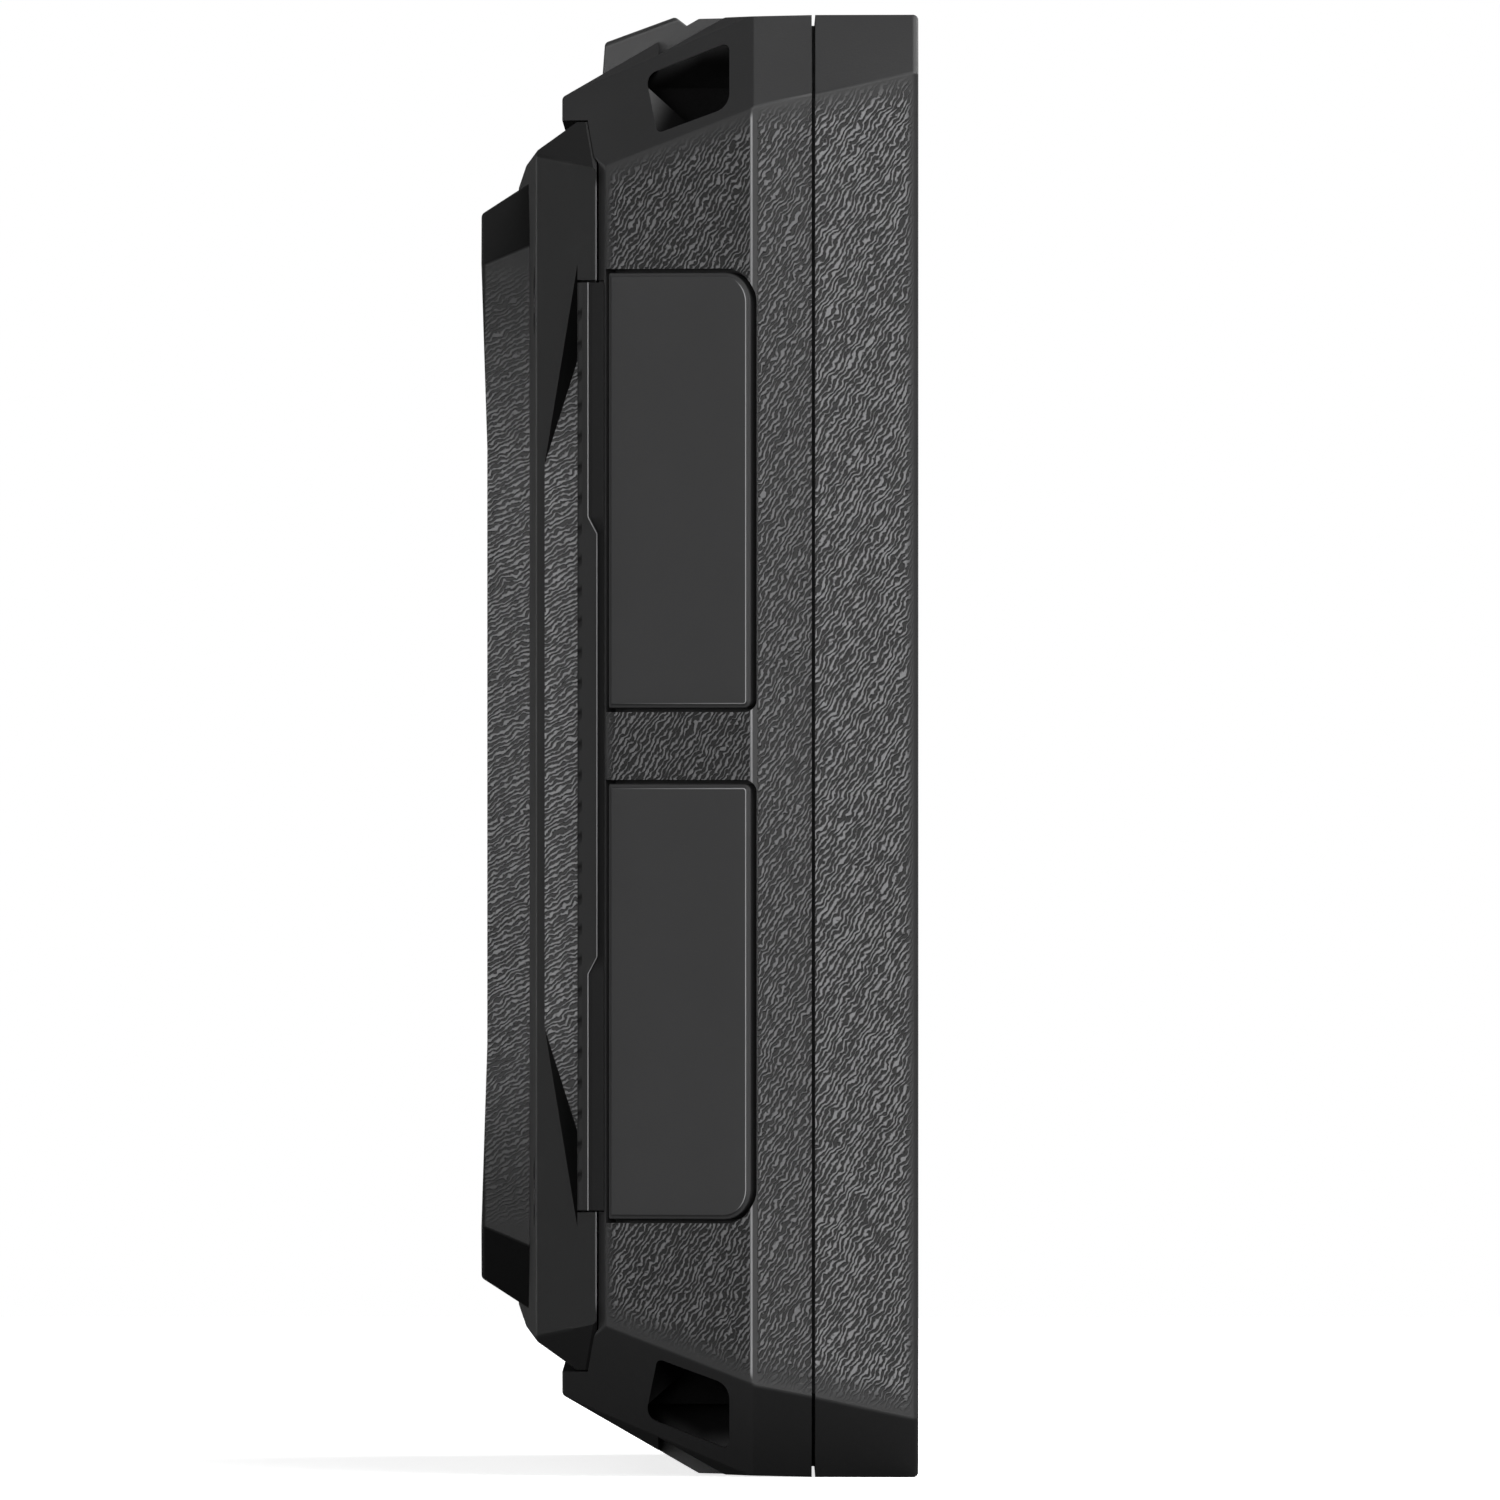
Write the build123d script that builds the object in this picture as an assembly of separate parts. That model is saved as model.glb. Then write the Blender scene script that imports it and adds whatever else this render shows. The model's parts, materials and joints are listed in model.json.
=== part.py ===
"""Rugged landscape navigator with a faceted two-part case, a stepped mounting back, two hinged
rubber port flaps in its left end and a power button on its top edge.

The part stands on its bottom edge. +Z is up, the screen faces -Y, and the origin is on the
surface it stands on, under the middle of the case. Depths are measured from the front plane.
"""
from build123d import *
import os
from math import cos, radians, sin, sqrt, tan

# Overall size
width = 157.0
height = 95.0
depth = 28.5

# Facets of the case: where each starts and how steep it is
seam_depth = 6.81          # parting line between bezel and housing
seam_gap = 0.22
side_bevel_depth = 10.71   # where the end walls start to lean inwards
end_bevel_depth = 14.0     # where the top and bottom walls start to lean inwards
bevel_angle = 30.0
bevel_end_depth = 20.31    # rear edge of the side bevel, and the hinge line of the port flaps
lip_slope = 1.73           # the narrow turned strip behind the side bevel
rim_depth = 23.15          # rear face of the housing's top and bottom rims
corner_cut = 3.7           # both legs of the corner chamfer, added, at the front plane
corner_slope = 0.218
rear_corner_slope = 0.966
turn_slope_x = 0.26        # the facet that turns the top wall into the rear corner
turn_slope_y = 0.561
wall_draft = 0.02
edge_radius = 0.35

# Walls and running gaps
wall = 1.8
weld = 0.5                 # how far a rib or post runs into the wall that carries it
bezel_wall = 2.2
fit_gap = 0.1
seat_gap = 0.04            # play of a piece that is clamped in its seat
cover_seam = 0.12
seal_inset = 0.7           # perimeter seal between bezel and housing
seal_thickness = 0.8
seal_groove = 0.8

# Screen stack
lip_thickness = 0.8
adhesive_thickness = 0.2
window = (136.0, 77.0)
window_radius = 2.5
window_bevel = 0.6
window_clear = 0.25
window_edge = 0.02         # flat left of the window's rim beside its bevel
panel_corner = 1.0
glass_size = (141.0, 81.4)
glass_radius = 3.0
glass_thickness = 1.1
panel_size = (135.0, 76.0)
panel_thickness = 2.6
frame_ledge_depth = 2.7
frame_thickness = 0.9
frame_gap = 0.3            # between the frame and the bezel's walls
frame_well = 1.0           # how much longer and wider than the glass the frame's well is
frame_well_corner = 2.0
post_overlap = 0.2         # how far a post runs into the plate that carries it
ribbon_clearance = 0.4

# Rear cover, its pocket and the mounting boss
pocket_depth = 20.77
pocket_margin = 6.8        # top and bottom rims of the housing
pocket_corner = 17.6       # both legs of the pocket's corner chamfer, added
pocket_corner_lean = 1.17  # how steeply that chamfer runs: 1 is 45 degrees
rear_wall = 1.57
plateau_depth = 26.2
plateau_fall = 0.0195      # how much the plateau falls towards the ends of the case
cover_side_inset = 5.9
cover_side_angle = 50.0
cover_end_inset = 7.6
cover_end_angle = 35.5
plateau_end_inset = 9.0    # where the end slope turns gently onto the plateau
plateau_end_depth = 25.4
plateau_end_angle = 26.0
cover_radius = 0.5
cover_wall = 2.0
cover_foot = 1.6           # height of the cover's unrounded foot
cover_border = (9.0, 5.4)  # land around the hollow under the cover
boss_border = 7.0
boss_roof = 1.0            # extra thickness behind the boss face
hollow_corner = 4.0
boss_size = (88.0, 69.6)
boss_side_draft = 4.0
boss_end_angle = 33.0
boss_corner = 3.4
boss_radius = 0.4
saddle_sink = 0.39         # how far the boss face is hollowed
saddle_length = 63.0
saddle_flat = 39.0

# Mounting pattern
insert_pitch = (38.0, 30.0)
insert_radius = 2.9
insert_bore = 1.65
insert_length = 6.0
insert_post = 4.4
contact_pitch = 2.54
contact_count = 8
contact_radius = 0.8
contact_drop = 26.0
contact_recess = 0.5
contact_border = 2.0
contact_recess_height = 5.0
contact_length = 4.5

# Port flaps and their spine
flap_gap = 0.26
flap_front_gap = 0.45
flap_opening_front = 10.58
flap_opening_far = 16.5    # from the top (or bottom) edge of the case to the opening
flap_bridge = 2.2          # half of the wall left between the two openings
flap_thickness = 1.2
flap_corner = 1.95
flap_inner_corner = 0.5
hinge_gap = 0.12
hinge_root = 1.9           # how far behind the hinge line the bar's groove reaches
bay_margin = 1.6
bay_front = 12.4
bay_rear = 18.9
bay_floor = 7.0
port_wall = 1.2
port_block_front = 9.8
port_block_margin = 2.0
plug_start = 2.6
plug_end = 7.0
plug_depth = 1.4
plug_margin = 1.0
plug_corner = 0.8
spine_margin = 17.3
spine_front = 20.42
spine_rear = 22.15
spine_root = 9.4
spine_ridge = 21.4         # depth of the bar's ridge, and how far in the section's corners lie
spine_lip_in = 0.16
spine_groove_in = 1.08
spine_ridge_in = 0.51
spine_rear_in = 0.91
spine_ridge_width = 0.04
grip_pitch = 2.0
grip_width = 0.32
grip_length = 0.65
grip_reach = 0.14          # how deep the nicks cut into the bar's rear corner

# Scoop for the fingers behind the spine
scoop_wall_rear = 23.6
scoop_wall_inset = 9.8
scoop_wall_angle = 12.0
scoop_lip_angle = 45.0
scoop_flat = 41.0
scoop_end_turn = 3.0       # how slowly the scoop runs out towards its ends
scoop_end_lean = 2.5

# Strap slots in the rear corners
slot_front = 12.27
slot_rear = 16.9
slot_reach = 15.0          # how far the passage runs in from the end of the case
slot_bar = 9.6             # width of the bar that the strap goes round
slot_shelf = 11.5          # where the passage narrows to the strap's own space
slot_shelf_top = 4.7
slot_corners = [           # depth and distance from the edge, and the corner's radius
    ((12.27, 1.75), 0.35),
    ((12.27, 6.0), 1.3),
    ((16.95, 7.7), 0.3),
    ((17.72, 3.88), 0.9),
]
ramp_run = 9.0             # how far in the ramp beside the passage ends
ramp_drop = 0.8
ramp_start = (17.55, 4.7)
ramp_end = (14.95, 7.04)
corner_block = (16.4, 9.4)
corner_block_front = 11.0

# Power button
button_depth = 17.75       # centre, measured along the depth
button_centre = -42.0
button_length = 16.0
button_width = 6.44
button_front_rise = 1.0
button_rear_rise = 1.84
button_front_lean = 0.4
button_rear_lean = 1.22
button_corner = 1.2
button_edge = 0.35
button_flange = 1.0
button_flange_thickness = 0.8
button_travel = 0.5
button_play = 0.05
button_slack = 0.08
seal_width = 0.45
seal_height = 0.8
seal_corner = 1.6
seal_squeeze = 0.02        # gap between the button and its seal
button_shoulder = 0.05     # height of the button's side walls above the case
button_post_radius = 1.2
button_post_offset = 2.6   # from the end of the button to the middle of a post
bracket_overhang = 1.8
bracket_width = 5.0
bracket_corner = 0.8
switch_size = (6.2, 3.6)
switch_corner = 0.3
switch_height = 1.8
switch_play = 0.03
bracket_thickness = 1.0
plunger_radius = 0.9
plunger_height = 0.6
plunger_rise = 0.5         # how far the plunger stands above the switch

# Battery bay, boards and what they carry
bay_left = -40.0
bay_right = 36.0
bay_height = 51.0          # centred on the screen
bay_bottom = 12.6
bay_skin = 1.0
bay_wall = 1.2
battery_size = (74.0, 6.8, 49.0)
board_size = (128.0, 68.0)
board_front = 8.2
board_thickness = 1.2
can_height = 1.6
ribbon_width = 20.0
ribbon_thickness = 0.2
ribbon_rise = 1.5          # ribbon above the board's lower edge
connector_height = 0.6
connector_border = 1.2
patch_size = 18.0
patch_height = 4.0
radio_size = 18.0
processor_size = 34.0
thermal_pad_size = 26.0
patch_offset = (48.5, 20.5)    # places across and above the middle of the screen
radio_offset = (50.0, -5.5)
speaker_offset = (48.5, -18.5)
speaker_size = (20.0, 14.0)
speaker_height = 5.0
speaker_gasket_thickness = 0.5
speaker_corner = 5.0
mesh_thickness = 0.25
mesh_border = (1.0, 0.75)
cover_gasket_reach = 2.4   # outside the battery bay's wall
cover_gasket_width = 1.2
cover_gasket_thickness = 0.9
cover_gasket_corner = 2.5
pad_border = (8.0, 21.5)   # battery pad inside the battery's bay
shield_corner = 1.0
shield_thickness = 0.3
sound_opening = (14.0, 8.0)
grille_slots = 5
grille_pitch = 2.4
grille_slot = (13.0, 1.2)
port_board_depth = 17.2
port_board_thickness = 1.0
port_board_width = 19.0
port_board_height = 51.0
usb_offset = 9.5           # heights of the sockets above the middle
card_offset = 21.5
jack_offset = -17.5

# Screws
case_screw_place = (68.0, 36.0)
case_boss = 2.6
case_post_rear = 9.6       # where the frame's post meets the housing's
case_screw_radius = 1.0
case_head_radius = 1.9
case_head_height = 1.3
cover_screw_place = (62.0, 29.0)
cover_screw_radius = 1.15
cover_post = 4.0
cover_screw_reach = 3.4
cover_drive_depth = 0.9
cover_head_radius = 2.2
cover_head_height = 1.4
cover_head_sink = 0.5
screw_land = 1.4
frame_screw_inset = 73.3
frame_screw_pitch = 27.0
frame_screw_radius = 0.8
frame_head_radius = 1.3
frame_head_height = 0.6
frame_drive_depth = 0.3
board_screw_place = (61.0, 30.0)
board_screw_radius = 1.0
board_head_radius = 1.9
board_head_height = 0.9
standoff_radius = 2.3
drive_depth = 0.5
drive_share = 0.5          # radius of the drive recess as a share of the head's

half_width = width / 2
middle = height / 2
bevel_slope = tan(radians(bevel_angle))
corner_depth_cut = corner_cut + corner_slope * side_bevel_depth
hinge_inset = bevel_slope * (bevel_end_depth - side_bevel_depth)
bay_low = middle - bay_height / 2
bay_high = middle + bay_height / 2
patch_place = (patch_offset[0], middle + patch_offset[1])
radio_place = (radio_offset[0], middle + radio_offset[1])
speaker_place = (speaker_offset[0], middle + speaker_offset[1])
usb_shell_size = (7.5, 9.0, 3.2)   # into the case, across, thick
usb_corner = 1.2
jack_body = (12.0, 6.4, 5.0)
jack_axis = 2.6            # from the port board to the middle of the plug's hole
jack_nose_radius = 2.5
jack_bore_radius = 1.8
usb_height = middle + usb_offset
card_height = middle + card_offset
jack_height = middle + jack_offset
ribbon_low = middle - board_size[1] / 2 + ribbon_rise
boss_face = depth
insert_floor = boss_face - insert_length - 0.8
ends = (-1, 1)


def y_at(from_front):
    """Position along Y of a depth measured from the front plane."""
    return from_front - depth / 2


def block(left, right, front, rear, low, high):
    """A box between two positions along X, two depths and two heights."""
    centre = ((left + right) / 2, y_at((front + rear) / 2), (low + high) / 2)
    return Pos(*centre) * Box(right - left, rear - front, high - low)


def centred(size, front, rear, corner=0.0):
    """A plate as wide and tall as size, centred on the screen, with its corners rounded."""
    plate = block(-size[0] / 2, size[0] / 2, front, rear, middle - size[1] / 2, middle + size[1] / 2)
    if corner:
        plate = fillet(plate.edges().filter_by(Axis.Y), corner)
    return plate


def peg(x, z, radius, front, rear):
    """A round pin along the depth."""
    turned = Pos(x, y_at((front + rear) / 2), z) * Rot(90, 0, 0)
    return turned * Cylinder(radius, rear - front)


def four(place):
    """The four points at plus and minus place about the middle of the screen."""
    return [(sx * place[0], middle + sz * place[1]) for sx in ends for sz in ends]


def cut_facet(solid, point, normal):
    """What is left of a solid behind the plane through a point."""
    return split(solid, bisect_by=Plane(origin=point, z_dir=normal), keep=Keep.BOTTOM)


def case_facets():
    """A point on each slanted face of the case and the face's outward normal."""
    facets = []
    for side in ends:
        x = side * half_width
        z = middle + side * middle
        facets.append(((x, y_at(side_bevel_depth), middle), (side, bevel_slope, 0)))
        facets.append(((0, y_at(end_bevel_depth), z), (0, bevel_slope, side)))
        facets.append(((x, y_at(seam_depth), middle), (side, wall_draft, 0)))
        facets.append(((0, y_at(seam_depth), z), (0, wall_draft, side)))
        facets.append(((x - side * hinge_inset, y_at(bevel_end_depth), middle), (side, lip_slope, 0)))
    for sx in ends:
        for sz in ends:
            z = middle + sz * middle
            turn_x = sx * (half_width - corner_depth_cut)
            turn = (turn_x, y_at(side_bevel_depth), z)
            facets.append(((sx * (half_width - corner_cut), y_at(0), z), (sx, corner_slope, sz)))
            facets.append((turn, (sx, rear_corner_slope, sz)))
            facets.append((turn, (sx * turn_slope_x, turn_slope_y, sz)))
    return facets


def case_form(front, rear, inset=0.0):
    """The case's faceted form between two depths, with every wall moved inwards by inset."""
    across = half_width - inset
    form = block(-across, across, front, rear, inset, height - inset)
    for point, normal in case_facets():
        outward = Vector(*normal).normalized()
        form = cut_facet(form, Vector(*point) - outward * inset, outward)
    return form


def rounded_case():
    """The whole case with every edge between facets rounded."""
    core = case_form(edge_radius, rim_depth - edge_radius, edge_radius)
    return offset(core, amount=edge_radius, kind=Kind.ARC)


def ring(size, border, front, rear, corner=0.0):
    """A flat frame with the given outer size and border."""
    inner = (size[0] - 2 * border, size[1] - 2 * border)
    inner_corner = max(corner - border, 0.0)
    return centred(size, front, rear, corner) - centred(inner, front - 1, rear + 1, inner_corner)


# Depths of the screen stack and of the case's inner faces
glass_front = lip_thickness + adhesive_thickness
glass_rear = glass_front + glass_thickness
panel_rear = glass_rear + panel_thickness
frame_rear = panel_rear + frame_thickness
board_rear = board_front + board_thickness
case_screw_tip = frame_rear + 0.3
frame_screw_tip = lip_thickness + 0.6
board_screw_tip = panel_rear + 0.2
bezel_rear = seam_depth - seam_gap / 2
housing_front = seam_depth + seam_gap / 2
inner_rear = pocket_depth - rear_wall


def make_front_bezel(case):
    bezel = case & block(-width, width, -1, bezel_rear, -1, height + 1)
    bezel -= centred(window, -1, lip_thickness + 1, window_radius)
    flare_size = (window[0] + 2 * window_bevel, window[1] + 2 * window_bevel)
    flare = centred(flare_size, -window_bevel, window_bevel, window_radius + window_bevel)
    rear_edges = flare.faces().sort_by(Axis.Y)[-1].edges()
    bezel -= chamfer(rear_edges, window_bevel - window_edge)
    rebate = (glass_size[0] + 2 * window_clear, glass_size[1] + 2 * window_clear)
    bezel -= centred(rebate, lip_thickness, frame_ledge_depth + 1, glass_radius + window_clear)
    bezel -= case_form(frame_ledge_depth, bezel_rear + 1, bezel_wall)
    for x, z in frame_screw_places():
        bezel -= peg(x, z, frame_screw_radius, frame_screw_tip, frame_ledge_depth + 1)
    return bezel


def frame_screw_places():
    rows = [middle + step * frame_screw_pitch for step in (-1, 0, 1)]
    return [(side * frame_screw_inset, z) for side in ends for z in rows]


def make_glass_adhesive():
    border = (glass_size[0] - window[0]) / 2
    return ring(glass_size, border, lip_thickness, glass_front, glass_radius)


def make_cover_glass():
    return centred(glass_size, glass_front, glass_rear, glass_radius)


def make_lcd_panel():
    return centred(panel_size, glass_rear, panel_rear, panel_corner)


def make_inner_frame():
    """Die-cast tray behind the screen; it carries the main board on four posts."""
    frame = case_form(frame_ledge_depth, frame_rear, bezel_wall + frame_gap)
    well = (glass_size[0] + frame_well, glass_size[1] + frame_well)
    frame -= centred(well, frame_ledge_depth - 1, panel_rear, frame_well_corner)
    for x, z in four(board_screw_place):
        frame += peg(x, z, standoff_radius, frame_rear - post_overlap, board_front)
        frame -= peg(x, z, board_screw_radius, board_screw_tip, board_front + 1)
    for x, z in frame_screw_places():
        frame -= peg(x, z, frame_screw_radius + fit_gap, frame_ledge_depth - 1, frame_rear + 1)
        frame -= peg(x, z, frame_head_radius + fit_gap, frame_rear - frame_head_height, frame_rear + 1)
    for x, z in four(case_screw_place):
        frame += peg(x, z, case_boss, frame_rear - post_overlap, case_post_rear)
        frame -= peg(x, z, case_screw_radius, case_screw_tip, case_post_rear + 1)
    frame -= ribbon_slot(ribbon_clearance)
    return frame


def ribbon_slot(slack):
    half = ribbon_width / 2 + slack
    return block(-half, half, panel_rear - slack, board_front - connector_height,
                 ribbon_low - slack, ribbon_low + ribbon_thickness + slack)


def screw(x, z, radius, head_radius, head_front, head_height, tip, recess=drive_depth):
    """A pan-head screw driven towards the screen, with a hexagonal drive recess."""
    body = peg(x, z, head_radius, head_front, head_front + head_height)
    body += peg(x, z, radius, tip, head_front + 0.1)
    socket_front = head_front + head_height - recess
    drive = extrude(Plane(origin=(x, y_at(socket_front), z), z_dir=(0, 1, 0))
                    * RegularPolygon(head_radius * drive_share, 6), amount=recess + 1)
    return body - drive


def make_frame_screws():
    return [screw(x, z, frame_screw_radius, frame_head_radius, frame_rear - frame_head_height,
                  frame_head_height, frame_screw_tip, frame_drive_depth) for x, z in frame_screw_places()]


def make_perimeter_seal():
    front = bezel_rear
    rear = housing_front + seal_groove
    outer = case_form(front, rear, seal_inset)
    return outer - case_form(front - 1, rear + 1, seal_inset + seal_thickness)


def pocket_form(clearance=0.0):
    """The recess across the back of the housing that the rear cover sits in."""
    margin = pocket_margin + clearance
    form = block(-width, width, pocket_depth, depth + 5, margin, height - margin)
    for sx in ends:
        for sz in ends:
            legs = pocket_corner + clearance * sqrt(2)
            point = (sx * (half_width - legs), 0, middle + sz * middle)
            form = cut_facet(form, point, (sx, 0, sz * pocket_corner_lean))
    return form


def port_plane():
    """Plane on the left bevel: X runs forward from the hinge line, Y is up, Z points outwards."""
    origin = (-half_width + hinge_inset, y_at(bevel_end_depth), 0)
    lean = radians(bevel_angle)
    return Plane(origin=origin, x_dir=(-sin(lean), -cos(lean), 0), z_dir=(-cos(lean), sin(lean), 0))


opening_length = (bevel_end_depth - flap_opening_front) / cos(radians(bevel_angle))


def flap_heights(side):
    """Lower and upper end of the upper (side 1) or lower (side -1) flap opening."""
    near = middle + side * flap_bridge
    far = middle + side * (middle - flap_opening_far)
    return min(near, far), max(near, far)


def flap_plate(side, start, stop, end_gap, low, high, growth=0.0):
    """A flap-shaped plate between two heights above the port plane."""
    low_z, high_z = flap_heights(side)
    low_z += end_gap
    high_z -= end_gap
    plate = Pos((start + stop) / 2, (low_z + high_z) / 2, (low + high) / 2) * Box(
        stop - start, high_z - low_z, high - low)
    upright = plate.edges().filter_by(Axis.Z).sort_by(Axis.X)[-2:].sort_by(Axis.Y)
    far = upright[-1] if side > 0 else upright[0]
    near = upright[0] if side > 0 else upright[-1]
    plate = fillet(far, flap_corner + growth)
    near_edge = plate.edges().filter_by(Axis.Z).sort_by(
        lambda edge: (edge.center() - near.center()).length)[0]
    plate = fillet(near_edge, flap_inner_corner + growth)
    return port_plane().location * plate


def make_flap(side):
    """Rubber flap: the visible plate with a plug bar moulded on its inside."""
    stop = opening_length - flap_front_gap
    plate = flap_plate(side, hinge_gap, stop, flap_gap, -flap_thickness, 0)
    low, high = flap_heights(side)
    inset = bay_margin + plug_margin
    plug = Pos((plug_start + plug_end) / 2, (low + high) / 2, -flap_thickness - plug_depth / 2) * Box(
        plug_end - plug_start, high - low - 2 * inset, plug_depth)
    plug = fillet(plug.edges().filter_by(Axis.Z), plug_corner)
    return plate + port_plane().location * plug


def make_port_spine():
    """Rubber bar that both flaps hang from, clamped between housing and rear cover."""
    outer = hinge_inset - half_width
    root = spine_root - half_width
    profile = [
        (outer + spine_lip_in, spine_front),
        (outer + spine_groove_in, spine_ridge - spine_ridge_width / 2),
        (outer + spine_ridge_in, spine_ridge + spine_ridge_width / 2),
        (outer + spine_rear_in, spine_rear),
        (root, spine_rear),
        (root, pocket_depth),
        (outer + hinge_root - seat_gap, pocket_depth),
        (outer + hinge_root - seat_gap, spine_front),
    ]
    face = make_face(Polyline(*[(x, y_at(d)) for x, d in profile], close=True))
    low = spine_margin
    high = height - spine_margin
    spine = Pos(0, 0, low) * extrude(face, amount=high - low)
    count = int((high - low - 4 * grip_length) / grip_pitch)
    first = middle - (count - 1) / 2 * grip_pitch
    nick_end = outer + spine_rear_in + grip_reach
    notches = [block(outer, nick_end, spine_rear - grip_width, spine_rear + 1,
                     first + step * grip_pitch - grip_length / 2,
                     first + step * grip_pitch + grip_length / 2) for step in range(count)]
    return spine - notches


def strap_passage(sx, sz):
    """An opening in the end of the case that turns out through the top or bottom wall."""
    def reach(near, far):
        edges = sorted((sx * (half_width - near), sx * (half_width - far)))
        return edges[0], edges[1]

    def level(near, far):
        edges = sorted((middle + sz * (middle - near), middle + sz * (middle - far)))
        return edges[0], edges[1]

    def section(points):
        face = make_face(Polyline(*[(y_at(d), middle + sz * (middle - z_in)) for d, z_in in points],
                                  close=True))
        return Plane.YZ * face

    def extruded(points, near, far):
        left, right = reach(near, far)
        return Pos(left, 0, 0) * extrude(section(points), amount=right - left, dir=(1, 0, 0))

    corners = [place for place, _ in slot_corners]
    mouth = extruded(corners, -1, slot_shelf)
    for place, radius in slot_corners:
        mouth = fillet(nearest_edge(mouth, y_at(place[0]), middle + sz * (middle - place[1])), radius)
    left, right = reach(-1, ramp_run)
    outer_part = cut_ramp(mouth & block(left, right, 0, depth, 0, height), sx, sz, slot_corners[2][0])
    left, right = reach(ramp_run, slot_shelf)
    inner_part = cut_ramp(mouth & block(left, right, 0, depth, 0, height), sx, sz, None)
    low, high = level(-1, slot_shelf_top)
    left, right = reach(slot_shelf, slot_reach)
    throat = extruded(corners, slot_shelf, slot_reach) & block(left, right, 0, depth, low, high)
    inner_left, inner_right = reach(slot_bar, slot_reach)
    end_way = block(inner_left, inner_right, slot_front, slot_rear, low, high)
    return outer_part + inner_part + throat + end_way


def nearest_edge(solid, y, z):
    """The edge along X of a solid that lies nearest a point of the YZ plane."""
    def distance(edge):
        centre = edge.center()
        return (centre.Y - y) ** 2 + (centre.Z - z) ** 2
    return solid.edges().filter_by(Axis.X).sort_by(distance)[0]


def cut_ramp(passage, sx, sz, corner):
    """Cuts off a passage's corner: slanting in from a corner of its mouth, or straight without one."""
    def at(inwards, place):
        return Vector(sx * (half_width - inwards), y_at(place[0]), middle + sz * (middle - place[1]))

    first = at(ramp_run, ramp_start)
    second = at(ramp_run, ramp_end)
    third = at(ramp_run - ramp_drop, corner) if corner else at(0, ramp_start)
    normal = (first - third).cross(second - third)
    if normal.Y < 0:
        normal = -normal
    return cut_facet(passage, first, normal)


def button_plane():
    """Plane on the top bevel under the button: X across, Y down the slope, Z out of the case."""
    lean = radians(bevel_angle)
    sink = bevel_slope * (button_depth - end_bevel_depth)
    origin = (button_centre, y_at(button_depth), height - sink)
    return Plane(origin=origin, x_dir=(1, 0, 0), z_dir=(0, sin(lean), cos(lean)))


def button_block(length, breadth, low, high, corner=0.0):
    solid = Pos(0, 0, (low + high) / 2) * Box(length, breadth, high - low)
    if corner:
        solid = fillet(solid.edges().filter_by(Axis.Z), corner)
    return button_plane().location * solid


def button_post_places():
    return [side * (button_length / 2 + button_post_offset) for side in ends]


button_floor = -wall - button_play - button_flange_thickness
switch_top = button_floor - button_travel - switch_play
bracket_top = switch_top - switch_height


def make_rear_housing(case):
    behind = block(-width, width, housing_front, depth + 1, -1, height + 1)
    housing = case & behind
    housing -= case_form(housing_front - 1, inner_rear, wall)

    # Solid corners around the strap slots, walls of the ports and of the battery bay
    added = []
    for sx in ends:
        for sz in ends:
            x0, x1 = sorted((sx * half_width, sx * (half_width - corner_block[0])))
            z0, z1 = sorted((middle + sz * middle, middle + sz * (middle - corner_block[1])))
            added.append(block(x0, x1, corner_block_front, inner_rear + weld, z0, z1))
    port_right = -half_width + bay_floor + port_wall
    added.append(block(-half_width, port_right, port_block_front, inner_rear + weld,
                       flap_opening_far - port_block_margin,
                       height - flap_opening_far + port_block_margin))
    added.append(block(bay_left - bay_wall, bay_right + bay_wall, bay_bottom - bay_skin,
                       pocket_depth, bay_low - bay_wall, bay_high + bay_wall))
    for x, z in four(case_screw_place):
        added.append(peg(x, z, case_boss, case_post_rear, inner_rear + weld))
    for x, z in four(cover_screw_place):
        added.append(peg(x, z, case_boss, inner_rear - cover_post, inner_rear + weld))
    inside = case_form(housing_front, pocket_depth, wall / 2)
    for extra in added:
        housing += extra & inside
    for x in button_post_places():
        post = Cylinder(button_post_radius, post_overlap - wall - bracket_top)
        housing += button_plane().location * Pos(x, 0, (bracket_top - wall + post_overlap) / 2) * post

    housing -= pocket_form()
    housing -= block(bay_left, bay_right, bay_bottom, depth, bay_low, bay_high)
    for sx in ends:
        for sz in ends:
            housing -= strap_passage(sx, sz)
    for side in ends:
        housing -= flap_plate(side, 0, opening_length, 0, -flap_thickness - fit_gap, 4, flap_gap)
        low, high = flap_heights(side)
        housing -= block(-width, -half_width + bay_floor, bay_front, bay_rear,
                         low + bay_margin, high - bay_margin)
    housing -= block(-width, -half_width + hinge_inset + hinge_root, spine_front - seat_gap / 2, depth,
                     spine_margin - fit_gap, height - spine_margin + fit_gap)
    housing -= usb_form(0.15) + card_mouth(0.1) + jack_mouth(0.1)
    housing -= button_block(button_length + 2 * button_slack, button_width + 2 * button_slack,
                            -wall - 0.5, 4)
    well = 2 * (button_flange + button_slack)
    housing -= button_block(button_length + well, button_width + well,
                            button_floor - button_travel - fit_gap, -wall, button_corner)
    housing -= seal_block()
    groove_rear = housing_front + seal_groove
    groove = case_form(housing_front - 1, groove_rear, seal_inset)
    housing -= groove - case_form(housing_front - 2, groove_rear + 1, seal_inset + seal_thickness)
    housing -= rear_seal_form()
    housing -= centred_at(speaker_place, sound_opening, inner_rear - 1, depth)
    for x, z in four(case_screw_place):
        housing -= peg(x, z, case_screw_radius + fit_gap, case_post_rear - 1, depth)
        housing -= peg(x, z, case_head_radius + fit_gap, pocket_depth - case_head_height, depth)
    for x, z in four(cover_screw_place):
        housing -= peg(x, z, cover_screw_radius, inner_rear - cover_screw_reach, depth)
    return housing


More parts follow.
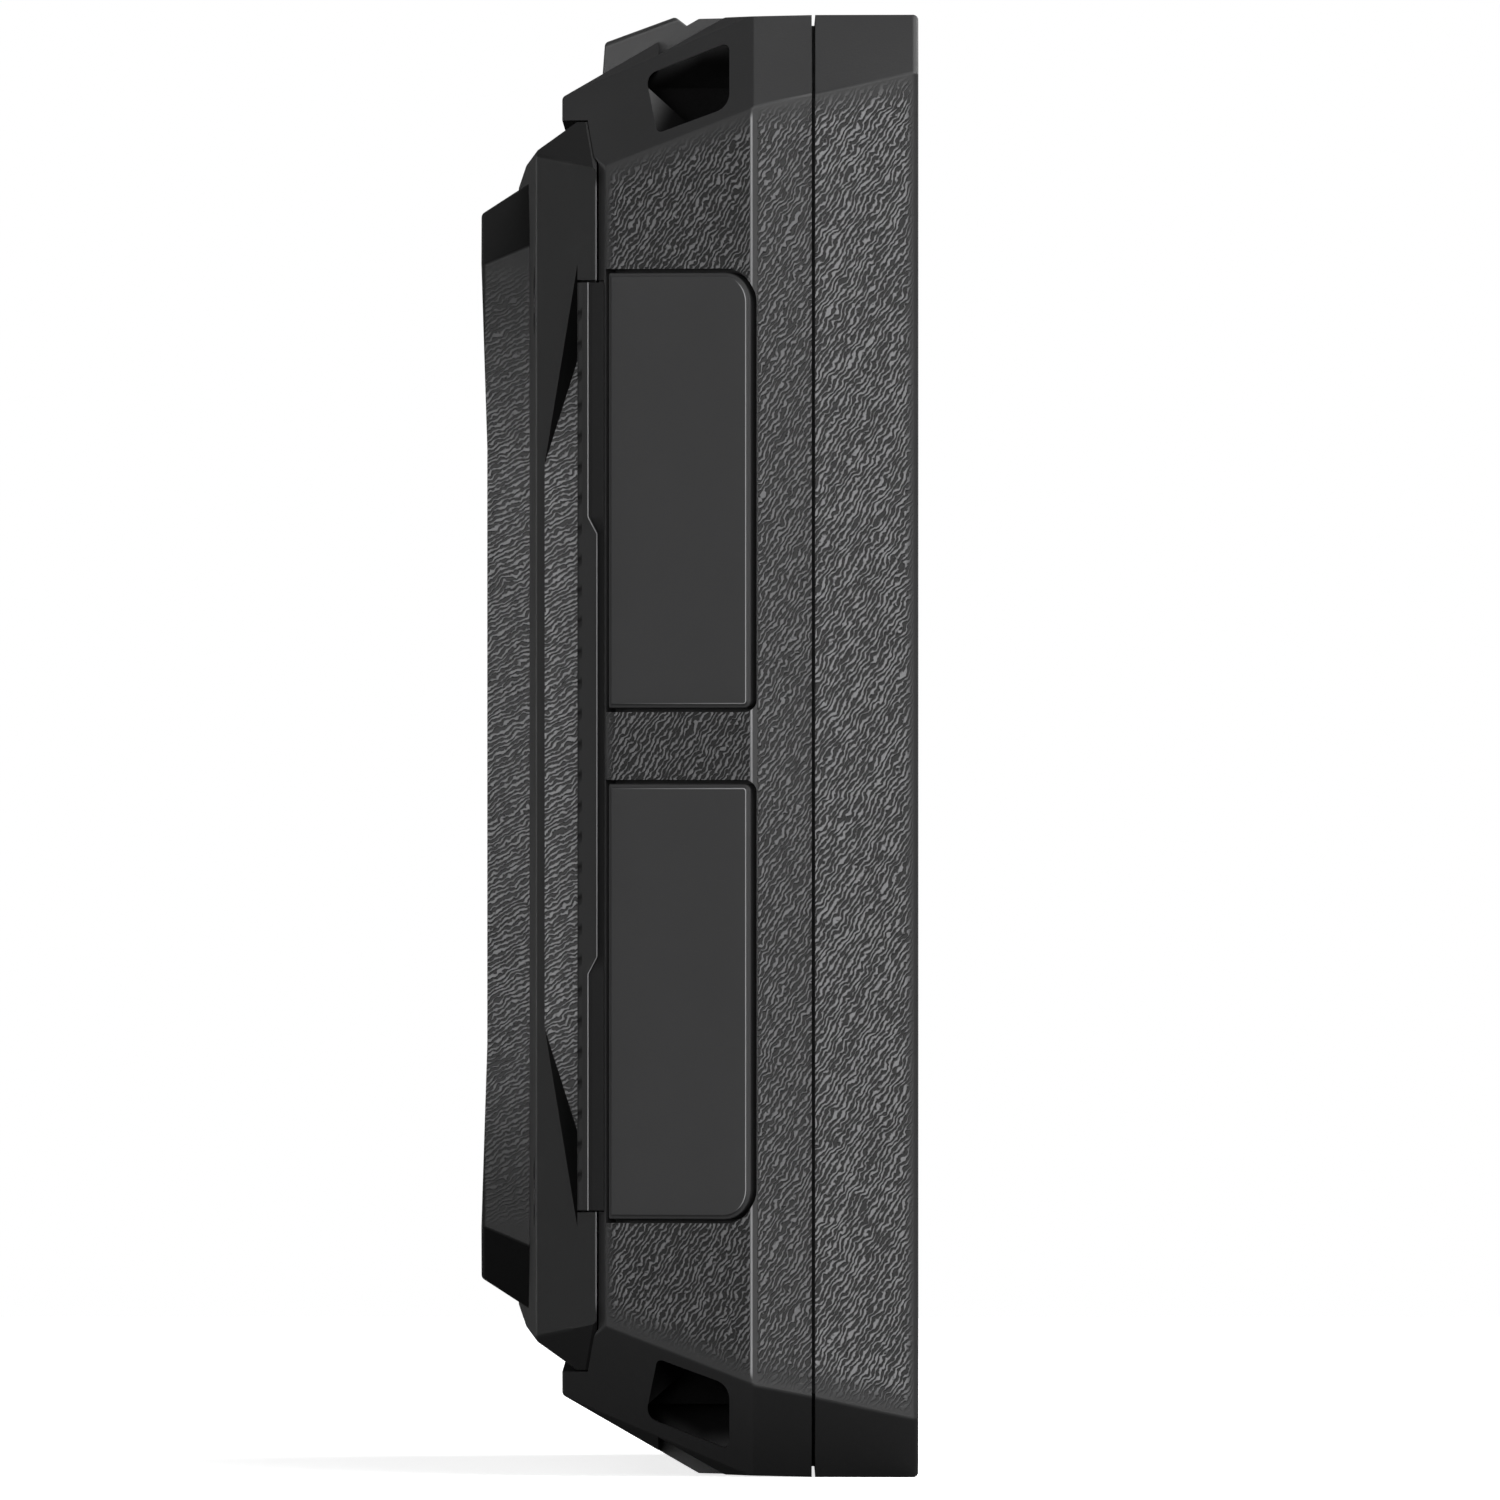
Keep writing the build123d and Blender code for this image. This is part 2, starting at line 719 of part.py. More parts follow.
def centred_at(place, size, front, rear):
    """A box of the given width and height about a point of the screen plane."""
    return block(place[0] - size[0] / 2, place[0] + size[0] / 2, front, rear,
                 place[1] - size[1] / 2, place[1] + size[1] / 2)


def rear_seal_form():
    """Gasket between the housing's rear wall and the cover, around the battery bay."""
    rear = pocket_depth + cover_seam
    outside = bay_wall + cover_gasket_reach
    return (bay_outline(outside, rear - cover_gasket_thickness, rear, cover_gasket_corner)
            - bay_outline(outside - cover_gasket_width, 0, depth, cover_gasket_corner - cover_gasket_width))


def bay_outline(reach, front, rear, corner):
    """A plate that stands out from the battery bay by reach all round."""
    plate = block(bay_left - reach, bay_right + reach, front, rear, bay_low - reach, bay_high + reach)
    return fillet(plate.edges().filter_by(Axis.Y), corner)


def make_case_screws():
    head_front = pocket_depth - case_head_height
    return [screw(x, z, case_screw_radius, case_head_radius, head_front, case_head_height - 0.1,
                  case_screw_tip) for x, z in four(case_screw_place)]


def cover_form(front, inset=0.0):
    """The rear cover's stepped form up to its plateau."""
    lean = radians(cover_side_angle)
    margin = pocket_margin + cover_seam + inset
    form = block(-half_width, half_width, front, plateau_depth - inset, margin, height - margin)
    rise = radians(cover_end_angle)
    end_lean = radians(plateau_end_angle)
    facets = []
    for side in ends:
        z = middle + side * (middle - cover_end_inset)
        top_z = middle + side * (middle - plateau_end_inset)
        x = side * (half_width - cover_side_inset)
        base = y_at(pocket_depth + cover_seam)
        facets.append(((x, base, middle), (side * cos(lean), sin(lean), 0)))
        facets.append(((0, y_at(plateau_depth), middle), (side * plateau_fall, 1, 0)))
        facets.append(((0, y_at(rim_depth), z), (0, sin(rise), side * cos(rise))))
        facets.append(((0, y_at(plateau_end_depth), top_z), (0, cos(end_lean), side * sin(end_lean))))
        for sz in ends:
            legs = pocket_corner + cover_seam * sqrt(2)
            turn = (side * (half_width - corner_depth_cut), y_at(side_bevel_depth), middle + sz * middle)
            facets.append((turn, (side, rear_corner_slope, sz)))
            facets.append(((side * (half_width - legs), base, middle + sz * middle),
                           (side, 0, sz * pocket_corner_lean)))
    for point, normal in facets:
        outward = Vector(*normal).normalized()
        form = cut_facet(form, Vector(*point) - outward * inset, outward)
    return form


def boss_form(inset=0.0):
    """The raised mounting boss: drafted sides, sloping ends and cut corners."""
    half_x = boss_size[0] / 2
    half_z = boss_size[1] / 2
    foot = plateau_depth - 4
    form = block(-half_x - 5, half_x + 5, foot, boss_face - inset, middle - half_z - 9, middle + half_z + 9)
    draft = radians(boss_side_draft)
    rise = radians(boss_end_angle)
    for side in ends:
        facets = [
            ((side * half_x, y_at(boss_face), middle), (side * cos(draft), sin(draft), 0)),
            ((0, y_at(boss_face), middle + side * half_z), (0, sin(rise), side * cos(rise))),
        ]
        for sz in ends:
            corner = (side * (half_x - boss_corner), y_at(boss_face), middle + sz * half_z)
            facets.append((corner, (side, 0.5, sz)))
        for point, normal in facets:
            outward = Vector(*normal).normalized()
            form = cut_facet(form, Vector(*point) - outward * inset, outward)
    return form


def saddle_cut():
    """The shallow hollow across the boss face."""
    rise = saddle_length / 2
    flat = saddle_flat / 2
    outer = y_at(boss_face)
    floor = y_at(boss_face - saddle_sink)
    points = [(outer, middle - rise), (floor, middle - flat), (floor, middle + flat),
              (outer, middle + rise), (outer + 2, middle + rise), (outer + 2, middle - rise)]
    face = Plane.YZ * make_face(Polyline(*points, close=True))
    return Pos(-width / 2, 0, 0) * extrude(face, amount=width, dir=(1, 0, 0))


def scoop_cut(side):
    """Finger scoop in the side of the cover: a steep wall with a sloping lip behind it."""
    x = side * (half_width - scoop_wall_inset)
    wall_lean = radians(scoop_wall_angle)
    lip_lean = radians(scoop_lip_angle)
    tool = block(*sorted((side * (half_width - 16), side * width)), spine_rear, depth + 3, 0, height)
    steep = cut_outside(tool, (x, y_at(scoop_wall_rear), middle),
                        (side * cos(wall_lean), sin(wall_lean), 0))
    lip = cut_outside(tool, (x, y_at(scoop_wall_rear), middle),
                      (side * cos(lip_lean), sin(lip_lean), 0))
    scoop = steep & (lip + block(*sorted((0, side * width)), spine_rear - 1, scoop_wall_rear, 0, height))
    for sz in ends:
        point = (x, y_at(scoop_wall_rear), middle + sz * scoop_flat / 2)
        scoop = cut_facet(scoop, point, (-side * scoop_end_turn, scoop_end_lean, sz))
    return scoop


def cut_outside(solid, point, normal):
    """What is left of a solid in front of the plane through a point."""
    return split(solid, bisect_by=Plane(origin=point, z_dir=normal), keep=Keep.TOP)


def make_rear_cover():
    base = pocket_depth + cover_seam
    shell = offset(cover_form(base + cover_radius, cover_radius), amount=cover_radius, kind=Kind.ARC)
    lower = cover_form(base)
    cover = shell + (lower & block(-width, width, base, base + cover_foot, 0, height))
    boss = offset(boss_form(boss_radius), amount=boss_radius, kind=Kind.ARC)
    cover += boss
    cover -= saddle_cut()
    for side in ends:
        cover -= scoop_cut(side)
    pocket = (2 * (half_width - cover_side_inset - cover_border[0]),
              height - 2 * (pocket_margin + cover_border[1]))
    cover -= centred(pocket, base - 1, plateau_depth - cover_wall, hollow_corner)
    hollow = (boss_size[0] - 2 * boss_border, boss_size[1] - 2 * boss_border)
    cover -= centred(hollow, base - 1, boss_face - cover_wall - boss_roof, hollow_corner)
    for x, z in insert_places():
        cover += peg(x, z, insert_post, insert_floor, boss_face - cover_wall)
        cover -= peg(x, z, insert_radius, boss_face - insert_length, depth + 1)
    for x, z in four(cover_screw_place):
        cover += peg(x, z, cover_head_radius + screw_land, base, plateau_depth - cover_wall + weld)
        cover -= peg(x, z, cover_screw_radius + fit_gap, base - 1, depth)
        cover -= peg(x, z, cover_head_radius + fit_gap, cover_head_front(), depth)
    for x, z in contact_places():
        cover -= peg(x, z, contact_radius, boss_face - contact_length, depth)
    cover -= centred_at((0, middle - contact_drop),
                        (contact_count * contact_pitch + contact_border, contact_recess_height),
                        boss_face - contact_recess, depth + 1)
    for step in range(grille_slots):
        z = speaker_place[1] + (step - (grille_slots - 1) / 2) * grille_pitch
        cover -= centred_at((speaker_place[0], z), grille_slot, plateau_depth - cover_wall - 1, depth)
    spine_slot = block(-width, -half_width + spine_root, base - 1, spine_rear,
                       spine_margin - fit_gap, height - spine_margin + fit_gap)
    return cover - spine_slot


def insert_places():
    return four((insert_pitch[0] / 2, insert_pitch[1] / 2))


def contact_places():
    first = -(contact_count - 1) / 2 * contact_pitch
    return [(first + step * contact_pitch, middle - contact_drop) for step in range(contact_count)]


def cover_head_front():
    """Front of the cover screws' heads, sunk below the plateau where it has fallen towards them."""
    local_plateau = plateau_depth - plateau_fall * (cover_screw_place[0] + cover_head_radius)
    return local_plateau - cover_head_sink - cover_head_height


def make_cover_screws():
    return [screw(x, z, cover_screw_radius, cover_head_radius, cover_head_front(), cover_head_height,
                  inner_rear - cover_screw_reach, cover_drive_depth) for x, z in four(cover_screw_place)]


def make_threaded_inserts():
    floor = boss_face - saddle_sink
    front = boss_face - insert_length
    inserts = []
    for x, z in insert_places():
        sleeve = peg(x, z, insert_radius, front, floor)
        inserts.append(sleeve - peg(x, z, insert_bore, front - 1, depth))
    return inserts


def make_power_contacts():
    rear = boss_face - contact_recess
    return [peg(x, z, contact_radius, boss_face - contact_length, rear) for x, z in contact_places()]


def make_power_button():
    """Wedge-topped cap with a flange that keeps it in its hole."""
    half = button_width / 2
    foot = -wall - button_play
    side = [(-half, foot), (half, foot), (half, button_shoulder),
            (half - button_rear_lean, button_rear_rise),
            (button_front_lean - half, button_front_rise), (-half, button_shoulder)]
    face = Plane.YZ * make_face(Polyline(*side, close=True))
    cap = Pos(-button_length / 2, 0, 0) * extrude(face, amount=button_length, dir=(1, 0, 0))
    top = cap.faces().sort_by(Axis.Z)[-1]
    cap = fillet(top.edges(), button_edge)
    flange = Pos(0, 0, button_floor + button_flange_thickness / 2) * Box(
        button_length + 2 * button_flange, button_width + 2 * button_flange, button_flange_thickness)
    flange = fillet(flange.edges().filter_by(Axis.Z), button_corner)
    return button_plane().location * (cap + flange)


def seal_block():
    """Outer form of the seal around the button."""
    grow = 2 * (button_slack + seal_width)
    return button_block(button_length + grow, button_width + grow, -wall, -wall + seal_height, seal_corner)


def make_button_seal():
    gap = 2 * seal_squeeze
    return seal_block() - button_block(button_length + gap, button_width + gap, -wall - 1, 0)


def make_button_switch():
    body = button_block(*switch_size, bracket_top, switch_top - plunger_rise, switch_corner)
    plunger = Pos(0, 0, switch_top - plunger_height / 2) * Cylinder(plunger_radius, plunger_height)
    return body + button_plane().location * plunger


def make_button_bracket():
    reach = button_post_places()[1] + bracket_overhang
    return button_block(2 * reach, bracket_width, bracket_top - bracket_thickness, bracket_top,
                        bracket_corner)


def make_main_board():
    board = centred(board_size, board_front, board_rear, 2.0)
    for x, z in four(board_screw_place):
        board -= peg(x, z, board_screw_radius + fit_gap, 0, depth)
    return board


def make_board_screws():
    return [screw(x, z, board_screw_radius, board_head_radius, board_rear,
                  board_head_height, board_screw_tip) for x, z in four(board_screw_place)]


def shield(place, size):
    """A folded tin lid, open towards the board."""
    can = centred_at(place, (size, size), board_rear, board_rear + can_height)
    can = fillet(can.edges().filter_by(Axis.Y), shield_corner)
    inner = size - 2 * shield_thickness
    return can - centred_at(place, (inner, inner), 0, board_rear + can_height - shield_thickness)


def make_port_board():
    left = -half_width + bay_floor + port_wall + fit_gap
    return block(left, left + port_board_width, port_board_depth, port_board_depth + port_board_thickness,
                 middle - port_board_height / 2, middle + port_board_height / 2)


def usb_form(slack):
    """Outline of the USB-C shell, through the floor of the upper bay."""
    left = -half_width + bay_floor
    length, across, thick = usb_shell_size
    reach = across / 2 + slack
    shell = block(left, left + length, port_board_depth - thick - slack, port_board_depth,
                  usb_height - reach, usb_height + reach)
    return fillet(shell.edges().filter_by(Axis.X), usb_corner)


def make_usb_socket():
    left = -half_width + bay_floor
    mouth = block(left - 1, left + 6.0, port_board_depth - 2.9, port_board_depth - 0.3,
                  usb_height - 4.15, usb_height + 4.15)
    mouth = fillet(mouth.edges().filter_by(Axis.X), 1.1)
    tongue = block(left + 0.6, left + 6.5, port_board_depth - 1.95, port_board_depth - 1.25,
                   usb_height - 3.3, usb_height + 3.3)
    return usb_form(0.0) - mouth + tongue


def card_mouth(slack):
    left = -half_width + bay_floor - 0.5
    front, rear = port_board_depth - 1.1 - slack, port_board_depth - 0.3 + slack
    return block(left, left + port_wall + 1.5, front, rear,
                 card_height - 5.6 - slack, card_height + 2.5)


def make_card_slot():
    left = -half_width + bay_floor + port_wall + fit_gap
    cage = block(left, left + 14, port_board_depth - 1.5, port_board_depth,
                 card_height - 6.4, card_height + 2.5)
    return cage - block(left - 1, left + 13, port_board_depth - 1.15, port_board_depth - 0.3,
                        card_height - 5.7, card_height + 2.0)


def make_memory_card():
    left = -half_width + bay_floor - 0.3
    return block(left, left + 14.0, port_board_depth - 1.05, port_board_depth - 0.35,
                 card_height - 5.5, card_height + 1.9)


def jack_mouth(slack):
    left = -half_width + bay_floor - 1
    turned = Pos(left + 1.5, y_at(port_board_depth - 2.6), jack_height) * Rot(0, 90, 0)
    return turned * Cylinder(2.5 + slack, 3.2)


def make_audio_jack():
    left = -half_width + bay_floor + port_wall + fit_gap
    y = y_at(port_board_depth - jack_axis)
    half = jack_body[1] / 2
    body = block(left, left + jack_body[0], port_board_depth - jack_body[2], port_board_depth,
                 jack_height - half, jack_height + half)
    nose = Pos(left - 0.6, y, jack_height) * Rot(0, 90, 0) * Cylinder(jack_nose_radius, 1.2)
    bore = Pos(left + 4, y, jack_height) * Rot(0, 90, 0) * Cylinder(jack_bore_radius, 12)
    return body + nose - bore


def make_battery_pack():
    centre_x = (bay_left + bay_right) / 2
    pack = block(centre_x - battery_size[0] / 2, centre_x + battery_size[0] / 2, bay_bottom,
                 bay_bottom + battery_size[1], middle - battery_size[2] / 2, middle + battery_size[2] / 2)
    return fillet(pack.edges().filter_by(Axis.Y), 2.0)


def make_battery_pad():
    """Foam that the cover presses on the battery."""
    top = bay_bottom + battery_size[1]
    return block(bay_left + pad_border[0], bay_right - pad_border[0], top, insert_floor,
                 bay_low + pad_border[1], bay_high - pad_border[1])


def make_speaker():
    rear = inner_rear - speaker_gasket_thickness
    body = centred_at(speaker_place, speaker_size, rear - speaker_height, rear)
    return fillet(body.edges().filter_by(Axis.Y), speaker_corner)


def make_speaker_gasket():
    outer = centred_at(speaker_place, (speaker_size[0] - 2, speaker_size[1] - 2),
                       inner_rear - speaker_gasket_thickness, inner_rear)
    return outer - centred_at(speaker_place, sound_opening, 0, depth)


def make_speaker_mesh():
    rear = plateau_depth - cover_wall
    size = (grille_slot[0] + 2 * mesh_border[0], grille_slots * grille_pitch + 2 * mesh_border[1])
    return centred_at(speaker_place, size, rear - mesh_thickness, rear)


def make_ribbon_connector():
    half = ribbon_width / 2 + connector_border
    return block(-half, half, board_front - connector_height, board_front,
                 ribbon_low - connector_border, ribbon_low + ribbon_thickness + connector_border)


def make_all():
    case = rounded_case()
    left_bay = (bay_left + bay_right) / 2
    return {
        "front_bezel": make_front_bezel(case),
        "glass_adhesive": make_glass_adhesive(),
        "cover_glass": make_cover_glass(),
        "lcd_panel": make_lcd_panel(),
        "inner_frame": make_inner_frame(),
        "frame_screws": make_frame_screws(),
        "perimeter_seal": make_perimeter_seal(),
        "rear_housing": make_rear_housing(case),
        "case_screws": make_case_screws(),
        "main_board": make_main_board(),
        "board_screws": make_board_screws(),
        "processor_shield": shield((left_bay, middle), processor_size),
        "radio_shield": shield(radio_place, radio_size),
        "thermal_pad": centred_at((left_bay, middle), (thermal_pad_size, thermal_pad_size),
                                  board_rear + can_height, bay_bottom - bay_skin),
        "satellite_antenna": centred_at(patch_place, (patch_size, patch_size), board_rear,
                                        board_rear + patch_height),
        "display_ribbon": ribbon_slot(0.0),
        "ribbon_connector": make_ribbon_connector(),
        "battery_pack": make_battery_pack(),
        "battery_pad": make_battery_pad(),
        "port_board": make_port_board(),
        "usb_socket": make_usb_socket(),
        "card_slot": make_card_slot(),
        "memory_card": make_memory_card(),
        "audio_jack": make_audio_jack(),
        "port_spine": make_port_spine(),
        "upper_port_flap": make_flap(1),
        "lower_port_flap": make_flap(-1),
        "power_button": make_power_button(),
        "button_seal": make_button_seal(),
        "button_switch": make_button_switch(),
        "button_bracket": make_button_bracket(),
        "speaker": make_speaker(),
        "speaker_gasket": make_speaker_gasket(),
        "speaker_mesh": make_speaker_mesh(),
        "rear_cover": make_rear_cover(),
        "cover_gasket": rear_seal_form(),
        "cover_screws": make_cover_screws(),
        "threaded_inserts": make_threaded_inserts(),
        "power_contacts": make_power_contacts(),
    }


os.makedirs("parts", exist_ok=True)
for name, shape in make_all().items():
    solid = Compound(children=shape) if isinstance(shape, list) else shape
    export_step(solid, f"parts/{name}.step")
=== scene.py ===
# %% [markdown]
# # A rugged vehicle navigator
# The object is a landscape touch-screen navigator for a dashboard or a handlebar. It is a black
# moulded case in two halves, a glass front, a raised mounting block on its back, a power button
# on its top edge and two rubber flaps in its left end that close its sockets.
#
# The engineering model gives every size and every place. Here each visible part gets the
# surface that a moulder, a rubber press or a lathe would leave on it. All lengths are metres.

# %% Load the frame and note its size
import json
from math import cos, pi, radians, sin, sqrt, tan, tau

import bmesh
import bpy
import numpy as np
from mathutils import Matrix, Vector


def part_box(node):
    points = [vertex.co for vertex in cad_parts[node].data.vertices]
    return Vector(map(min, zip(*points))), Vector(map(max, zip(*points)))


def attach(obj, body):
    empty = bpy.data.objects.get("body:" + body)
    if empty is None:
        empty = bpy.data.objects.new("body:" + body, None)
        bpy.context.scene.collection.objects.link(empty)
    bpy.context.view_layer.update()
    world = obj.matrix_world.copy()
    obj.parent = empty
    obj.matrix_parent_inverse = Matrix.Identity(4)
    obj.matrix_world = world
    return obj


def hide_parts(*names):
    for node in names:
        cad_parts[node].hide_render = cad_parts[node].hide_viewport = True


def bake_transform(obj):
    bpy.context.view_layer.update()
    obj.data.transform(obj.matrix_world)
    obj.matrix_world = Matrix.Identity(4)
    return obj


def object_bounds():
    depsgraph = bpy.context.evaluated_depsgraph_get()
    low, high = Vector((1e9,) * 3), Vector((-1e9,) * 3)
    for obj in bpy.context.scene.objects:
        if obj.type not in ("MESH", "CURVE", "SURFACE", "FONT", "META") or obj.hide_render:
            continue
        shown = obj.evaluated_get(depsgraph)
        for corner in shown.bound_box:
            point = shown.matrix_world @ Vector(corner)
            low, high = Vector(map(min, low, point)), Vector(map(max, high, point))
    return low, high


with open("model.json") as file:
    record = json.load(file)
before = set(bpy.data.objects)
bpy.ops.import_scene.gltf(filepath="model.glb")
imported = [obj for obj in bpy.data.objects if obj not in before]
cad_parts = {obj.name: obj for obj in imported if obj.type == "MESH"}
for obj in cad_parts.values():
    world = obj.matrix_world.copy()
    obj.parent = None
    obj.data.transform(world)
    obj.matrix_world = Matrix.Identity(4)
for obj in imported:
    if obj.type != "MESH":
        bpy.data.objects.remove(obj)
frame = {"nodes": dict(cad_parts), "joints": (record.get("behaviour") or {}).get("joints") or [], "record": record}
cad_low, cad_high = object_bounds()
mm = 0.001
half_width = cad_high.x
middle = (cad_low.z + cad_high.z) / 2
front_y = cad_low.y
centre = (cad_low + cad_high) / 2
print("case", [round(1000 * side, 1) for side in cad_high - cad_low], "mm")

# %% [markdown]
# ## Camera
# The navigator stands on its bottom edge and is seen exactly from its left end, so its depth
# runs across the picture and the screen is at the right. A short lens close by would show the
# top and the front of the case opening away from the eye. A very long lens from four and a half
# metres keeps every edge that points away from the eye as a point, as in a catalogue side view.

# %% Place a long lens at the left end
view_width = 97.35 * mm
aim_depth = 10.93 * mm
aim_height = 47.24 * mm
lens = bpy.data.cameras.new("side_lens")
lens.lens = 1680.0
lens.sensor_width = 36.0
lens.clip_end = 50.0
stand_back = view_width * lens.lens / lens.sensor_width
camera = bpy.data.objects.new("camera", lens)
camera.location = (-half_width - stand_back, front_y + aim_depth, aim_height)
camera.rotation_euler = (radians(90), 0, radians(-90))
bpy.context.scene.collection.objects.link(camera)
bpy.context.scene.camera = camera
print("camera stands", round(stand_back, 2), "m from the case")

# %% [markdown]
# ## Writing a finish as arithmetic
# A finish is a small graph of shader nodes. Written node by node, even a simple mask takes a
# page, so one class holds a socket and lets +, -, * and / on it add the Math nodes. Every other
# node comes from one method, which takes the node's type, its settings and its sockets.

# %% A socket that can be added and multiplied
class Wire:
    """An output socket of a finish. Arithmetic on it adds a Math node and returns its output."""

    def __init__(self, finish, socket):
        self.finish = finish
        self.socket = socket

    def math(self, operation, first, second=0.0):
        return self.finish.node("ShaderNodeMath", {"operation": operation}, {0: first, 1: second})

    def __add__(self, other):
        return self.math("ADD", self, other)

    def __sub__(self, other):
        return self.math("SUBTRACT", self, other)

    def __rsub__(self, other):
        return self.math("SUBTRACT", other, self)

    def __mul__(self, other):
        return self.math("MULTIPLY", self, other)

    def __truediv__(self, other):
        return self.math("DIVIDE", self, other)

    def __abs__(self):
        return self.math("ABSOLUTE", self)

    def larger(self, other):
        return self.math("MAXIMUM", self, other)

    def smaller(self, other):
        return self.math("MINIMUM", self, other)

    __radd__ = __add__
    __rmul__ = __mul__


# %% A finish and its one way to add a node
class Finish:
    """A material under construction: its node tree, its shader and the place on the part."""

    def __init__(self, name, **constants):
        self.material = bpy.data.materials.new(name)
        self.material.use_nodes = True
        self.tree = self.material.node_tree
        self.shader = self.tree.nodes["Principled BSDF"]
        for socket, value in constants.items():
            self.shader.inputs[socket.replace("_", " ")].default_value = value
        self.place = self.node("ShaderNodeTexCoord", {}, {}, "Object")
        self.x, self.y, self.z = [self.node("ShaderNodeSeparateXYZ", {}, {0: self.place}, axis)
                                  for axis in "XYZ"]

    def node(self, kind, settings, sockets, out=0):
        """Adds a node, applies its settings, then its socket values or links."""
        made = self.tree.nodes.new(kind)
        for name, value in settings.items():
            if name == "stops":
                for position, shade in value:
                    made.color_ramp.elements.new(position).color = (shade, shade, shade, 1)
                made.color_ramp.elements.remove(made.color_ramp.elements[0])
                made.color_ramp.elements.remove(made.color_ramp.elements[-1])
            else:
                setattr(made, name, value)
        for name, value in sockets.items():
            if isinstance(value, Wire):
                self.tree.links.new(value.socket, made.inputs[name])
            else:
                made.inputs[name].default_value = value
        return Wire(self, made.outputs[out])

    def noise(self, size, detail=2.0, roughness=0.5, distortion=0.0, place=None):
        """Cloudy noise from 0 to 1 whose lumps are about size metres across."""
        sockets = {"Vector": place or self.place, "Scale": 1.0 / size, "Detail": detail,
                   "Roughness": roughness, "Distortion": distortion}
        return self.node("ShaderNodeTexNoise", {}, sockets, "Fac")

    def step(self, value, start, end, shape="SMOOTHSTEP"):
        """Rises from 0 at start to 1 at end, smoothly or along a LINEAR slope."""
        return self.node("ShaderNodeMapRange", {"interpolation_type": shape},
                         {"Value": value, "From Min": start, "From Max": end})

    def span(self, value, low, high):
        """Stretches a value that runs from 0 to 1 to run from low to high."""
        return value * (high - low) + low

    def blend(self, factor, first, second):
        """A colour between two colours."""
        sockets = {"Factor": factor, 6: (*first, 1) if isinstance(first, tuple) else first,
                   7: (*second, 1) if isinstance(second, tuple) else second}
        return self.node("ShaderNodeMix", {"data_type": "RGBA"}, sockets, 2)

    def connect(self, **inputs):
        """Links each wire to the shader socket of that name."""
        for socket, wire in inputs.items():
            self.tree.links.new(wire.socket, self.shader.inputs[socket.replace("_", " ")])
        return self.material

    def bump(self, height, distance):
        """Turns a height from 0 to 1, distance metres deep, into a normal."""
        return self.node("ShaderNodeBump", {}, {"Strength": 1.0, "Distance": distance, "Height": height},
                         "Normal")


def grey(level):
    """A neutral colour of that linear level."""
    return (level, level, level * 1.02)


print("finish writer ready")

# %% [markdown]
# ## Light and floor
# A product like this is lit by large soft boxes, because a small lamp would leave hard white
# spots on black plastic. One box stands a little behind the camera's left, so the slanted rear
# faces catch it. A weaker one at the right lifts the bezel towards the glass, and one overhead
# lights the upper slants and leaves the lower ones dark. The backdrop is plain white, and the
# room's own light is kept low so that black stays black.

# %% Build the soft boxes, the room and the floor
def softbox(name, direction, distance, size, power):
    """An area lamp that stands off the case along direction and faces the case's middle."""
    lamp = bpy.data.lights.new(name, "AREA")
    lamp.shape = "RECTANGLE"
    lamp.size, lamp.size_y = size
    lamp.energy = power
    holder = bpy.data.objects.new(name, lamp)
    toward = Vector(direction).normalized()
    holder.location = centre + toward * distance
    holder.rotation_mode = "QUATERNION"
    holder.rotation_quaternion = toward.to_track_quat("Z", "Y")
    bpy.context.scene.collection.objects.link(holder)
    return holder


softbox("key_box", (-0.96, 0.26, 0.05), 1.2, (0.5, 0.9), 10.8)
softbox("edge_box", (-0.50, 0.87, 0.0), 1.2, (0.5, 0.9), 2.4)
softbox("top_box", (-0.20, -0.60, 1.0), 1.4, (1.4, 1.4), 16.8)
softbox("brow_box", (-0.70, -0.50, 0.70), 1.2, (0.9, 0.5), 8.4)
softbox("rear_box", (0.6, 1.0, -0.15), 1.5, (0.8, 0.8), 6.0)
softbox("screen_box", (0.8, -1.0, 0.5), 1.6, (0.9, 0.7), 9.0)
bpy.context.scene.view_settings.view_transform = "Standard"

# %% A white room for the eye, a dim one for the light
room = bpy.data.worlds.new("room")
bpy.context.scene.world = room
room.use_nodes = True
room_nodes = room.node_tree.nodes
room_nodes.clear()
path = room_nodes.new("ShaderNodeLightPath")
choice = room_nodes.new("ShaderNodeMixShader")
sky = room_nodes.new("ShaderNodeOutputWorld")
room.node_tree.links.new(path.outputs["Is Camera Ray"], choice.inputs[0])
for socket, strength in ((1, 0.04), (2, 1.0)):
    glow = room_nodes.new("ShaderNodeBackground")
    glow.inputs["Color"].default_value = (1, 1, 1, 1)
    glow.inputs["Strength"].default_value = strength
    room.node_tree.links.new(glow.outputs[0], choice.inputs[socket])
room.node_tree.links.new(choice.outputs[0], sky.inputs["Surface"])

# %% A white floor that throws little light back up
floor_reach = 1.2
floor_mesh = bpy.data.meshes.new("floor")
floor_mesh.from_pydata([(-floor_reach, -floor_reach, 0), (floor_reach, -floor_reach, 0),
                        (floor_reach, floor_reach, 0), (-floor_reach, floor_reach, 0)],
                       [], [(0, 1, 2, 3)])
floor = bpy.data.objects.new("floor", floor_mesh)
bpy.context.scene.collection.objects.link(floor)
sweep = Finish("white sweep")
seen = sweep.node("ShaderNodeLightPath", {}, {}, "Is Camera Ray")
paper = sweep.node("ShaderNodeBsdfDiffuse", {}, {"Color": (0.9, 0.9, 0.9, 1)})
glowing = sweep.node("ShaderNodeEmission", {}, {"Strength": 0.78})
bright = sweep.node("ShaderNodeAddShader", {}, {0: paper, 1: glowing})
